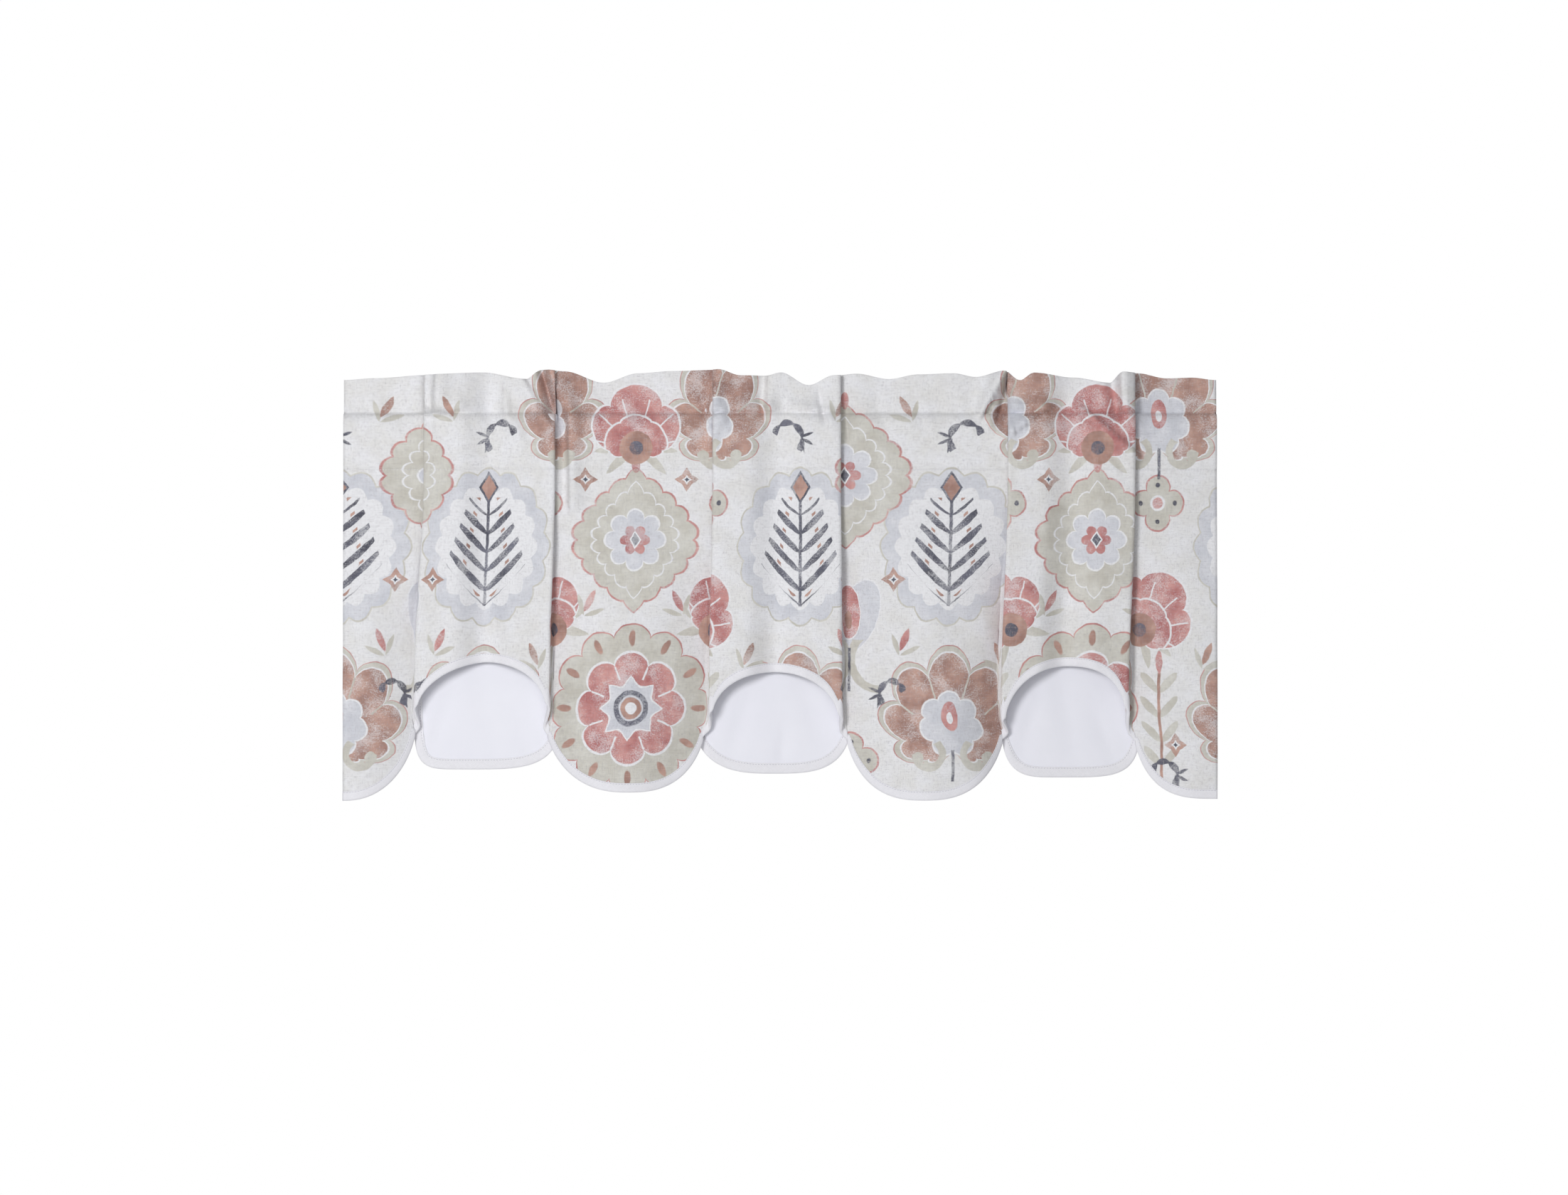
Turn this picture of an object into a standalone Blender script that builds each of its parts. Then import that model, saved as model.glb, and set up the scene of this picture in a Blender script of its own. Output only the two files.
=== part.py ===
"""Scalloped rod-pocket window valance, modelled as it hangs.

Four sewn pieces: a printed face panel, a white under panel behind it, and a bias binding round the
scalloped edge of each. Two rows of stitching hold the panels together at the top, and the rod pocket
is the channel between the rows, open at both sides.

Sizes are in millimetres and turn into metres where a mesh is made. X runs to the right along the
window, Y away from the room and Z up. The origin is the middle of the top edge.
"""

import math

import bpy
import numpy as np

METRES = 0.001

WIDTH = 883.0  # as hung, side hem to side hem
UPPER_STITCHING = -37.0  # the header ruffle stands above this row
LOWER_STITCHING = -94.0  # the rod pocket lies between the two rows
ARCH_SIDE = -330.0  # height at which the folds have opened out

CLOTH = 1.2  # thickness of a panel with its seams
GAP = 0.3  # between one piece and the next
PLANE = (CLOTH + GAP) / 2  # from the seam plane to the middle of each panel
HEADER_EASE = 1.2  # how far the two cloths lie apart above the upper stitching
UNDER_TOP = -1.5  # the under panel is rolled a little below the top edge
RUFFLE_HEIGHT = 30.0  # the header's ruffle has its full depth this far above the stitching
POCKET_DEPTH = 10.5  # how far each panel stands out from the seam plane inside the pocket
LOW_SEAM_FORWARD = 8.5  # the lower stitching lies this far in front of the upper one
BINDING_WIDTH = 10.0
BINDING_CLOTH = 1.0
POCKET_SQUARE = 5  # 2 would make the pocket's outline an ellipse
POCKET_SHARE = 0.6  # how full the folds are at the pocket, beside how full they are at the foot

FACE_COLOUR, UNDER_COLOUR, BINDING_COLOUR = (0.72, 0.66, 0.62), (0.86, 0.86, 0.89), (0.9, 0.9, 0.92)
FACE_ROUGHNESS, UNDER_ROUGHNESS, BINDING_ROUGHNESS = 0.9, 0.75, 0.8

# The six folds, left to right. At each one the arched section in front turns back over the lobe
# beside it. x_pocket, x_arch and x_cusp are where the fold shows at the pocket, beside the arch and at
# the foot of the fold; tucked is the cloth it hides; front is +1 where the arched section lies to its
# right; z_side and z_cusp are the heights of the scalloped edge on the two sides of the fold.
FOLD = ("x_pocket", "x_arch", "x_cusp", "tucked", "front", "z_side", "z_cusp")
FOLDS = (
    (-359.5, -370.0, -366.6, 61.0, +1, -331.0, -361.0),
    (-227.5, -233.6, -238.4, 60.0, -1, -329.0, -363.0),
    (-67.7, -71.5, -74.0, 40.0, +1, -336.0, -363.0),
    (61.2, 62.5, 64.2, 58.0, -1, -341.0, -366.0),
    (230.4, 223.8, 229.0, 66.0, +1, -344.0, -366.0),
    (358.6, 352.2, 356.5, 42.0, -1, -333.0, -369.0),
)

# The seven sections between the folds. z_end is the lowest point of a lobe or the top of an arch;
# belly and belly_low are how far the section stands forward below the pocket and at its edge, and lean
# moves its fullest part left or right.
# square is 2 for an edge cut as an ellipse and more for a squarer one, and shift moves its end sideways.
SECTION = ("kind", "z_end", "belly", "belly_low", "lean", "square", "shift")
SECTIONS = (
    ("lobe", -427.2, 19.0, 19.0, 0.0, 2.3, 0.0),
    ("arch", -287.8, 12.0, -2.0, -0.10, 1.9, 0.085),
    ("lobe", -418.7, 22.0, 22.0, -0.12, 2.55, 0.05),
    ("arch", -297.8, 13.0, -2.0, 0.08, 2.13, -0.01),
    ("lobe", -426.8, 24.0, 24.0, 0.18, 2.65, -0.02),
    ("arch", -291.9, 12.0, -2.0, -0.05, 2.35, 0.065),
    ("lobe", -425.2, 20.0, 20.0, 0.0, 3.4, 0.0),
)

# Height of the uneven top edge, and how far the header ruffle stands back (+) or forward (-) there.
RUFFLE = ("x", "height", "back")
RUFFLES = (
    (-441.5, -3.2, 0.0),
    (-411.8, -1.4, -1.0),
    (-351.4, 2.2, -2.0),
    (-299.5, 4.3, -2.5),
    (-257.0, -2.5, 2.5),
    (-241.2, 7.2, -1.5),
    (-217.4, 5.4, -3.0),
    (-178.6, -5.8, 3.0),
    (-144.0, 3.6, -1.0),
    (-109.4, 5.8, -3.0),
    (-62.6, 7.2, -2.0),
    (-40.3, 1.4, 0.0),
    (-13.7, 1.1, 1.0),
    (0.7, 4.3, -1.0),
    (28.8, -8.6, 3.5),
    (54.7, 1.4, -1.0),
    (77.8, 3.2, -2.0),
    (110.2, -2.2, 1.0),
    (139.0, 2.5, -1.0),
    (175.7, 3.6, -2.0),
    (198.0, 0.0, 0.0),
    (226.8, 5.8, -3.0),
    (242.6, -3.6, 2.0),
    (256.3, 4.0, -1.0),
    (296.6, -0.7, -1.5),
    (333.4, -6.1, 2.5),
    (346.3, 4.7, -2.0),
    (362.2, 3.6, -1.0),
    (391.0, -1.4, 1.0),
    (417.6, -0.7, 1.0),
    (441.5, -3.2, 0.0),
)

# Soft folds that stand out at the back of the under panel, hidden from the room by the lobes.
BACK_FOLD = ("x", "depth", "half_width")
BACK_FOLDS = (
    (-391.0, 13.0, 8.0),
    (-213.0, 15.0, 8.0),
    (-155.0, 17.0, 10.0),
    (-107.0, 13.0, 8.0),
    (90.0, 14.0, 8.0),
    (148.0, 18.0, 10.0),
    (205.0, 14.0, 8.0),
    (383.0, 13.0, 8.0),
)

# Scallops of the under panel, which hang in the arches: centre, lowest point, how far each reaches to
# its left and right, and how square its two lower corners are.
DROP = ("x", "z_low", "left", "right", "square_left", "square_right")
DROPS = (
    (-315.4, -396.4, 54.6, 92.6, 5.4, 3.7),
    (-7.6, -400.7, 81.4, 80.0, 2.9, 3.3),
    (279.7, -404.5, 55.0, 84.8, 3.7, 4.7),
)
DROP_SHOULDER = -324.0  # where one scallop of the under panel meets the arch beside it
UNDER_ARCH_RISE = 34.0
BEYOND_HEM = 60.0  # the outer arches of the under panel are cut off by the side hems


def rows(columns, table):
    return [dict(zip(columns, row)) for row in table]


FOLD_ROWS = rows(FOLD, FOLDS)
SECTION_ROWS = rows(SECTION, SECTIONS)
RUFFLE_ROWS = rows(RUFFLE, RUFFLES)
BACK_FOLD_ROWS = rows(BACK_FOLD, BACK_FOLDS)
DROP_ROWS = rows(DROP, DROPS)


def blend(a, b, t):
    return a + (b - a) * t


def ease(t):
    t = min(max(t, 0.0), 1.0)
    return t * t * (3 - 2 * t)


def down(z):
    """0 at the lower stitching and 1 where the folds have opened out."""
    return ease((LOWER_STITCHING - z) / (LOWER_STITCHING - ARCH_SIDE))


def pocket_bulge(z, low_end):
    """How far a panel stands out round the rod pocket: nothing at the upper stitching and above it, and
    low_end at the lower one and below it."""
    middle = (UPPER_STITCHING + LOWER_STITCHING) / 2
    reach = (UPPER_STITCHING - LOWER_STITCHING) / 2
    end = 0.0 if z > middle else low_end
    return blend(end, POCKET_DEPTH, math.sqrt(max(0.0, 1 - abs((z - middle) / reach) ** POCKET_SQUARE)))


def ruffle(x, column):
    """A smooth line through the ruffle table, with level peaks and dips."""
    for left, right in zip(RUFFLE_ROWS, RUFFLE_ROWS[1:]):
        if x <= right["x"]:
            break
    return blend(left[column], right[column], ease((x - left["x"]) / (right["x"] - left["x"])))


def seam_plane(x, z):
    """Both panels follow the header's ruffle, which dies out at the stitching."""
    return ruffle(x, "back") * ease((z - UPPER_STITCHING) / RUFFLE_HEIGHT)


# --- face panel -------------------------------------------------------------------------------------

TUCK_RADIUS, OPEN_RADIUS = 2.7, 3.0  # of a fold at the stitching, and low down
TUCK_TURN, OPEN_TURN = math.pi, math.radians(103)
OPEN_WALL = 9.0  # cloth running straight back in an opened fold
OPEN_FOOT = 3.0
TUCK_AT_TOP = 0.35  # how much of a tuck is left at the top edge
FALL = 95.0  # the skirt comes forward over this height below the pocket
BELLY_TURN, BELLY_FALL = -150.0, 150.0  # belly gives way to belly_low from here down, over this height
SKIRT = 330.0
BACK_PLANE_LOW = 5.0  # where the lobes' sides lie low down, in front of the under panel
HIDDEN_PARTS = (0.0, 0.38, 0.52, 0.86, 1.0)  # foot, inner turn, return and outer turn of a fold
EDGE_PARTS = (0.0, 0.11, 0.36, 0.75, 1.0)  # how much of the rise of the edge lies along each of them
CLEAR_OF_TUCKS = 0.5  # share of an arched section's half width that has no tuck behind it
REACH = {"arch": 0.985, "lobe": 0.96}  # share of the curve's half width in use, short of upright
SECTION_STEPS = 10  # columns of the mesh across a section, and along each of the hidden parts
HIDDEN_STEPS = (1, 3, 1, 4)


def back_plane(z):
    if z > LOWER_STITCHING:
        return -PLANE - pocket_bulge(z, LOW_SEAM_FORWARD)
    return blend(-PLANE - LOW_SEAM_FORWARD, BACK_PLANE_LOW, down(z))


def fold_line(fold, z):
    if z > ARCH_SIDE:
        return blend(fold["x_pocket"], fold["x_arch"], down(z))
    low = ease((ARCH_SIDE - z) / (ARCH_SIDE - fold["z_cusp"]))
    return blend(fold["x_arch"], fold["x_cusp"], low * low)


def fold_size(fold, z):
    """Radius, turn, return and foot of a fold at one height, and how deep and wide that makes it."""
    d = down(z)
    radius = blend(TUCK_RADIUS, OPEN_RADIUS, d)
    turn = blend(TUCK_TURN, OPEN_TURN, d)
    tuck = (fold["tucked"] - (1 + 2 * math.pi) * TUCK_RADIUS) / 2
    if z > UPPER_STITCHING:
        tuck = tuck * blend(1.0, TUCK_AT_TOP, ease((z - UPPER_STITCHING) / -UPPER_STITCHING))
    wall = blend(tuck, OPEN_WALL, d)
    foot = blend(tuck + TUCK_RADIUS, OPEN_FOOT, d)
    deep = 2 * radius * (1 - math.cos(turn)) + wall * math.sin(turn)
    wide = foot + 2 * radius * math.sin(turn) + wall * math.cos(turn)
    return radius, turn, wall, foot, deep, wide


def fold_point(fold, t, z):
    """The hidden cloth of a fold, from the lobe (t = 0) round behind the arched section (t = 1)."""
    radius, turn, wall, foot, deep, wide = fold_size(fold, z)
    _, foot_end, inner_end, wall_end, _ = HIDDEN_PARTS
    if t < foot_end:
        across, forward = foot * t / foot_end, 0.0
    elif t < inner_end:
        angle = turn * (t - foot_end) / (inner_end - foot_end)
        across, forward = foot + radius * math.sin(angle), radius * (1 - math.cos(angle))
    elif t < wall_end:
        along = wall * (t - inner_end) / (wall_end - inner_end)
        across = foot + radius * math.sin(turn) + along * math.cos(turn)
        forward = radius * (1 - math.cos(turn)) + along * math.sin(turn)
    else:
        angle = turn * (1 - t) / (1 - wall_end)
        across, forward = wide - radius * math.sin(angle), deep - radius * (1 - math.cos(angle))
    x = fold_line(fold, z) + fold["front"] * (across + radius - wide)
    return x, back_plane(z) - forward


def section_flat_ends():
    """Where each section starts and ends along the flat cut width, left to right."""
    ends, at = [], 0.0
    for i in range(len(SECTION_ROWS)):
        left = FOLD_ROWS[i - 1]["x_arch"] if i else -WIDTH / 2
        right = FOLD_ROWS[i]["x_arch"] if i < len(FOLD_ROWS) else WIDTH / 2
        ends.append((at, at + right - left))
        at = ends[-1][1] + (FOLD_ROWS[i]["tucked"] if i < len(FOLD_ROWS) else 0.0)
    return ends


FLAT_ENDS = section_flat_ends()


def across_section(i, u):
    """Place across a section: -1 at its left fold and 1 at its right one; a side hem is 0."""
    start, end = FLAT_ENDS[i]
    part = (u - start) / (end - start)
    if i == 0:
        return part
    return part - 1 if i == len(FLAT_ENDS) - 1 else 2 * part - 1


def section_point(i, u, z):
    section, place = SECTION_ROWS[i], across_section(i, u)
    left = fold_point(FOLD_ROWS[i - 1], 1.0 if section["kind"] == "arch" else 0.0, z) if i else None
    right = None
    if i < len(FOLD_ROWS):
        right = fold_point(FOLD_ROWS[i], 1.0 if section["kind"] == "arch" else 0.0, z)
    start, end = FLAT_ENDS[i]
    x_left = left[0] if left else -WIDTH / 2
    x_right = right[0] if right else WIDTH / 2
    x = blend(x_left, x_right, (u - start) / (end - start))
    y_edge = blend((left or right)[1], (right or left)[1], (u - start) / (end - start))
    swing = blend(POCKET_SHARE, 1.0, ease((LOWER_STITCHING - z) / SKIRT))
    fall = ease((LOWER_STITCHING - z) / FALL)
    belly = blend(section["belly"], section["belly_low"], ease((BELLY_TURN - z) / BELLY_FALL))
    y_belly = -PLANE - blend(pocket_bulge(z, LOW_SEAM_FORWARD), belly * swing, fall)
    if section["kind"] == "arch":
        return x, blend(y_belly, y_edge, ease(abs(place) / CLEAR_OF_TUCKS))
    place = place - section["lean"] * (1 - place * place)
    return x, blend(y_belly, y_edge, place * place)


def face_point(u, z):
    """Where the point at u along the flat width hangs, at the height z."""
    for i, (start, end) in enumerate(FLAT_ENDS):
        if u <= end:
            x, y = section_point(i, max(u, start), z)
            break
        fold = FOLD_ROWS[i] if i < len(FOLD_ROWS) else None
        if fold and u < end + fold["tucked"]:
            t = (u - end) / fold["tucked"]
            x, y = fold_point(fold, 1 - t if fold["front"] < 0 else t, z)
            break
    return x, y + seam_plane(x, z)


def rounded(place, power, reach):
    """0 in the middle and 1 at the ends, as the side of an ellipse or a squarer curve."""
    def drop(p):
        return 1 - math.sqrt(1 - (reach * p) ** power)
    return drop(min(abs(place), 1.0)) / drop(1.0)


def face_edge(u):
    """Height of the scalloped edge of the face panel."""
    for i, (start, end) in enumerate(FLAT_ENDS):
        section = SECTION_ROWS[i]
        if u <= end:
            place = across_section(i, max(u, start))
            side = "z_side" if section["kind"] == "arch" else "z_cusp"
            fold = FOLD_ROWS[max(i - 1, 0)] if place < 0 else FOLD_ROWS[min(i, len(FOLD_ROWS) - 1)]
            place = place - section["shift"] * (1 - place * place)
            shape = rounded(place, section["square"], REACH[section["kind"]])
            return blend(section["z_end"], fold[side], shape)
        if i < len(FOLD_ROWS) and u < end + FOLD_ROWS[i]["tucked"]:
            fold = FOLD_ROWS[i]
            t = (u - end) / fold["tucked"]
            rise = np.interp(1 - t if fold["front"] < 0 else t, HIDDEN_PARTS, EDGE_PARTS)
            return blend(fold["z_cusp"], fold["z_side"], float(rise))
    return SECTION_ROWS[-1]["z_end"]


def face_columns():
    """Places along the flat width, closer together where the scallops are steep and the folds turn."""
    places = []
    for i, (start, end) in enumerate(FLAT_ENDS):
        half = i in (0, len(FLAT_ENDS) - 1)
        steps = SECTION_STEPS // 2 if half else SECTION_STEPS
        for k in range(steps + 1):
            if i == 0:
                part = math.sin(math.pi / 2 * k / steps)
            elif half:
                part = 1 - math.cos(math.pi / 2 * k / steps)
            else:
                part = (1 - math.cos(math.pi * k / steps)) / 2
            places.append(blend(start, end, part))
        if i < len(FOLD_ROWS):
            parts = []
            for (a, b), n in zip(zip(HIDDEN_PARTS, HIDDEN_PARTS[1:]), HIDDEN_STEPS):
                parts += [blend(a, b, k / n) for k in range(1, n + 1)]
            parts = parts[:-1]
            if FOLD_ROWS[i]["front"] < 0:
                parts = [1 - t for t in reversed(parts)]
            places += [end + FOLD_ROWS[i]["tucked"] * t for t in parts]
    return places


# --- under panel ------------------------------------------------------------------------------------

UNDER_PLANE_LOW = 11.5  # how far behind the seam plane the under panel hangs low down
BACK_FOLD_PLACES = (-2.0, -1.2, -0.6, 0.0, 0.6, 1.2, 2.0)  # columns of the mesh, in half widths
DROP_STEPS, DROP_REACH = 5, 0.995
CLOSEST_COLUMNS = 2.5


def under_point(x, z):
    y = PLANE + pocket_bulge(z, -LOW_SEAM_FORWARD)
    if z < LOWER_STITCHING:
        y = blend(PLANE - LOW_SEAM_FORWARD, UNDER_PLANE_LOW, down(z))
    y += HEADER_EASE * ease((z - UPPER_STITCHING) / (RUFFLE_HEIGHT / 3))
    held = blend(POCKET_SHARE, 1.0, down(z))
    for fold in BACK_FOLD_ROWS:
        y += held * fold["depth"] * math.exp(-(((x - fold["x"]) / fold["half_width"]) ** 2))
    return x, y + seam_plane(x, z)


def under_edge(x):
    """Height of the under panel's edge: a squarish scallop in each arch and an arch between them."""
    for drop in DROP_ROWS:
        side = "left" if x < drop["x"] else "right"
        place, square = abs(x - drop["x"]) / drop[side], drop["square_" + side]
        if place < 1:
            return blend(DROP_SHOULDER, drop["z_low"], (1 - place**square) ** (1 / square))
    ends = [-WIDTH / 2 - BEYOND_HEM]
    for drop in DROP_ROWS:
        ends += [drop["x"] - drop["left"], drop["x"] + drop["right"]]
    ends.append(WIDTH / 2 + BEYOND_HEM)
    for left, right in zip(ends[::2], ends[1::2]):
        if left <= x <= right:
            place = (2 * x - left - right) / (right - left)
            return DROP_SHOULDER + UNDER_ARCH_RISE * math.sqrt(max(0.0, 1 - place * place))
    return DROP_SHOULDER


def under_columns():
    places = {-WIDTH / 2, WIDTH / 2}
    for fold in BACK_FOLD_ROWS:
        for k in BACK_FOLD_PLACES:
            places.add(fold["x"] + k * fold["half_width"])
    for drop in DROP_ROWS:
        for k in range(-DROP_STEPS, DROP_STEPS + 1):
            across = math.sin(math.pi / 2 * k / DROP_STEPS) * DROP_REACH
            places.add(drop["x"] + across * drop["left" if k < 0 else "right"])
    kept = []
    for x in sorted(p for p in places if abs(p) <= WIDTH / 2):
        if not kept or x - kept[-1] > CLOSEST_COLUMNS:
            kept.append(x)
    kept[-1] = WIDTH / 2
    return kept


# --- sheets and bindings ----------------------------------------------------------------------------


def offset_edge(edge, u, distance, low, high):
    """Height at u of a line that keeps a distance above the edge, or below it where that is negative."""
    near = np.linspace(max(low, u - abs(distance)), min(high, u + abs(distance)), EDGE_SAMPLES)
    reach = np.sqrt(np.maximum(0.0, distance**2 - (near - u) ** 2))
    if distance > 0:
        return max(edge(s) + r for s, r in zip(near, reach))
    return min(edge(s) - r for s, r in zip(near, reach))


def across_cloth(point, u, z, low, high):
    """Level direction square to the cloth at one place, towards the room."""
    a, b = point(max(low, u - NEARBY), z), point(min(high, u + NEARBY), z)
    dx, dy = b[0] - a[0], b[1] - a[1]
    length = math.hypot(dx, dy)
    return dy / length, -dx / length


def placed(point, u, z, out, low, high):
    x, y = point(u, z)
    nx, ny = across_cloth(point, u, z, low, high)
    return (x + nx * out) * METRES, (y + ny * out) * METRES, z * METRES


NEARBY = 0.4  # distance over which the cloth's direction is taken
EDGE_SAMPLES = 81  # places along the edge that an offset line is taken from
SHARP = math.radians(50)
HEADER_ROWS = (0.0, 0.5)  # share of the header above the upper stitching
POCKET_ROWS = (0.0, 0.07, 0.24, 0.5, 0.74, 0.87, 0.95, 1.0)
SKIRT_ROWS = (0.09, 0.26, 0.48, 0.74, 1.0)


def cloth_heights(point, edge, u, low, high):
    """Heights of the rows of the mesh at one place along the cloth, top to bottom."""
    x, _ = point(u, 0.0)
    top = ruffle(x, "height") + (UNDER_TOP if point is under_point else 0.0)
    bound = offset_edge(edge, u, BINDING_WIDTH - GAP - BINDING_CLOTH, low, high)
    heights = [blend(top, UPPER_STITCHING, f) for f in HEADER_ROWS]
    heights += [blend(UPPER_STITCHING, LOWER_STITCHING, f) for f in POCKET_ROWS]
    heights += [blend(LOWER_STITCHING, bound, f) for f in SKIRT_ROWS]
    return heights + [edge(u)]


def add_object(name, vertices, faces, colour, roughness):
    mesh = bpy.data.meshes.new(name)
    mesh.from_pydata(vertices, [], faces)
    mesh.shade_smooth()
    mesh.set_sharp_from_angle(angle=SHARP)
    piece = bpy.data.objects.new(name, mesh)
    bpy.context.scene.collection.objects.link(piece)
    material = bpy.data.materials.new(name)
    material.use_nodes = True
    shader = material.node_tree.nodes["Principled BSDF"]
    shader.inputs["Base Color"].default_value = (*colour, 1.0)
    shader.inputs["Roughness"].default_value = roughness
    shader.inputs["Metallic"].default_value = 0.0
    mesh.materials.append(material)
    return piece


def split(a, b, c, d):
    """A four-sided face as two triangles, cut the same way on every piece."""
    return [(a, b, c), (a, c, d)]


def panel(name, point, edge, places, colour, roughness):
    """One cloth from the top edge to the scalloped edge: two faces and a rim all round."""
    low, high = places[0], places[-1]
    columns = [[(u, z) for z in cloth_heights(point, edge, u, low, high)] for u in places]
    down_rows, count = len(columns[0]), len(columns) * len(columns[0])
    vertices = []
    for out in (CLOTH / 2, -CLOTH / 2):
        vertices += [placed(point, u, z, out, low, high) for column in columns for u, z in column]
    faces = []
    for i in range(len(columns) - 1):
        for j in range(down_rows - 1):
            a, b = i * down_rows + j, (i + 1) * down_rows + j
            faces += split(a, a + 1, b + 1, b)
            faces += split(a + count, b + count, b + 1 + count, a + 1 + count)
        a, b = i * down_rows, (i + 1) * down_rows
        faces += split(a, b, b + count, a + count)
        a, b = a + down_rows - 1, b + down_rows - 1
        faces += split(a, a + count, b + count, b)
    for i in (0, len(columns) - 1):
        for j in range(down_rows - 1):
            a, b = i * down_rows + j, i * down_rows + j + 1
            rim = (a, a + count, b + count, b)
            faces += split(*(rim if i == 0 else reversed(rim)))
    return add_object(name, vertices, faces, colour, roughness)


def binding(name, point, edge, places, colour, roughness):
    """A folded strip round the scalloped edge: an upright channel with the cloth's edge inside."""
    low, high = places[0], places[-1]
    inner = CLOTH / 2 + GAP
    outer = inner + BINDING_CLOTH
    vertices = []
    for u in places:
        top = offset_edge(edge, u, BINDING_WIDTH - GAP - BINDING_CLOTH, low, high)
        floor = offset_edge(edge, u, -GAP, low, high)
        foot = offset_edge(edge, u, -GAP - BINDING_CLOTH, low, high)
        section = ((inner, top), (outer, top), (outer, foot), (-outer, foot))
        section += ((-outer, top), (-inner, top), (-inner, floor), (inner, floor))
        vertices += [placed(point, u, z, out, low, high) for out, z in section]
    faces, sides = [], 8
    for i in range(len(places) - 1):
        for j in range(sides):
            a, b = i * sides + j, i * sides + (j + 1) % sides
            turned = j in (3, 6, 7)  # cut the same way as the walls and the floor they lie against
            side = (b, b + sides, a + sides, a) if turned else (a, b, b + sides, a + sides)
            faces += split(*side)
    last = (len(places) - 1) * sides
    for a, b, c, d in ((0, 7, 2, 1), (7, 6, 3, 2), (6, 5, 4, 3)):
        faces += split(a, b, c, d)
        faces += split(last + d, last + c, last + b, last + a)
    return add_object(name, vertices, faces, colour, roughness)


def main():
    for thing in list(bpy.context.scene.objects):
        bpy.data.objects.remove(thing)
    face, under = face_columns(), under_columns()
    panel("face_panel", face_point, face_edge, face, FACE_COLOUR, FACE_ROUGHNESS)
    panel("under_panel", under_point, under_edge, under, UNDER_COLOUR, UNDER_ROUGHNESS)
    binding("face_binding", face_point, face_edge, face, BINDING_COLOUR, BINDING_ROUGHNESS)
    binding("under_binding", under_point, under_edge, under, BINDING_COLOUR, BINDING_ROUGHNESS)


main()
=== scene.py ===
"""The window valance as it is seen: printed face cloth, white under panel, bias bindings and stitching.

The valance's own sizes are in millimetres and turn into metres where a mesh is made. X runs to the
right along the window, Y away from the room and Z up, from the middle of the top edge.
"""

import math
from collections import namedtuple

import bpy
import numpy as np
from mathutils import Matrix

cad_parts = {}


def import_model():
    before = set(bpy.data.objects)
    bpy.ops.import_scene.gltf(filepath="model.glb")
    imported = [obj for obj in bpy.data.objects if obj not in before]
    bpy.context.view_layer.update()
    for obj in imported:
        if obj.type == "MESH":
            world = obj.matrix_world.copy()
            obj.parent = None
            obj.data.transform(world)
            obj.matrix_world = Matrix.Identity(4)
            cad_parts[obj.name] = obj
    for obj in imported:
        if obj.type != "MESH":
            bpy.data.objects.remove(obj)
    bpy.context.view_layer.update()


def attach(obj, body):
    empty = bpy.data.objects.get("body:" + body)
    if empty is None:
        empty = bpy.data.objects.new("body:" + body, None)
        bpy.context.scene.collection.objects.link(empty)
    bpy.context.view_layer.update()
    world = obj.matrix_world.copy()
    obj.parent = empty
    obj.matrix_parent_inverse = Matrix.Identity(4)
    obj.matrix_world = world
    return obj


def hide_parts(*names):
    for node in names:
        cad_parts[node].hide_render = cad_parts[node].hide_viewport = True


METRES = 0.001

# --- sizes of the valance, as in the model that this one dresses -------------------------------------

WIDTH = 883.0
UPPER_STITCHING = -37.0
LOWER_STITCHING = -94.0  # the rod pocket lies between the two rows
ARCH_SIDE = -330.0  # height at which the folds have opened out

CLOTH = 1.2  # thickness of a panel with its seams
GAP = 0.3  # between one piece and the next
PLANE = (CLOTH + GAP) / 2  # from the seam plane to the middle of each panel
HEADER_EASE = 1.2  # how far the two cloths lie apart above the upper stitching
UNDER_TOP = -1.5  # the under panel is rolled a little below the top edge
RUFFLE_HEIGHT = 30.0  # the header's ruffle has its full depth this far above the stitching
POCKET_DEPTH = 10.5  # how far each panel stands out from the seam plane inside the pocket
LOW_SEAM_FORWARD = 8.5  # the lower stitching lies this far in front of the upper one
POCKET_SQUARE = 5  # 2 would make the pocket's outline an ellipse
POCKET_SHARE = 0.6  # how full the folds are at the pocket, beside how full they are at the foot

# The six folds, left to right: where each shows at the pocket, beside the arch and at its foot, the
# cloth it hides, +1 where its arched section lies to its right, and the heights of the scalloped edge
# on its two sides.
FOLD = ("x_pocket", "x_arch", "x_cusp", "tucked", "front", "z_side", "z_cusp")
FOLDS = (
    (-359.5, -370.0, -366.6, 61.0, +1, -331.0, -361.0),
    (-227.5, -233.6, -238.4, 60.0, -1, -329.0, -363.0),
    (-67.7, -71.5, -74.0, 40.0, +1, -336.0, -363.0),
    (61.2, 62.5, 64.2, 58.0, -1, -341.0, -366.0),
    (230.4, 223.8, 229.0, 66.0, +1, -344.0, -366.0),
    (358.6, 352.2, 356.5, 42.0, -1, -333.0, -369.0),
)

# The seven sections between the folds. z_end is the lowest point of a lobe or the top of an arch;
# belly and belly_low are how far it stands forward below the pocket and at its edge, and lean moves
# its fullest part sideways. square is 2 for an edge cut as an ellipse, and shift moves its end sideways.
SECTION = ("kind", "z_end", "belly", "belly_low", "lean", "square", "shift")
SECTIONS = (
    ("lobe", -427.2, 19.0, 19.0, 0.0, 2.3, 0.0),
    ("arch", -287.8, 12.0, -2.0, -0.10, 1.9, 0.085),
    ("lobe", -418.7, 22.0, 22.0, -0.12, 2.55, 0.05),
    ("arch", -297.8, 13.0, -2.0, 0.08, 2.13, -0.01),
    ("lobe", -426.8, 24.0, 24.0, 0.18, 2.65, -0.02),
    ("arch", -291.9, 12.0, -2.0, -0.05, 2.35, 0.065),
    ("lobe", -425.2, 20.0, 20.0, 0.0, 3.4, 0.0),
)

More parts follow.
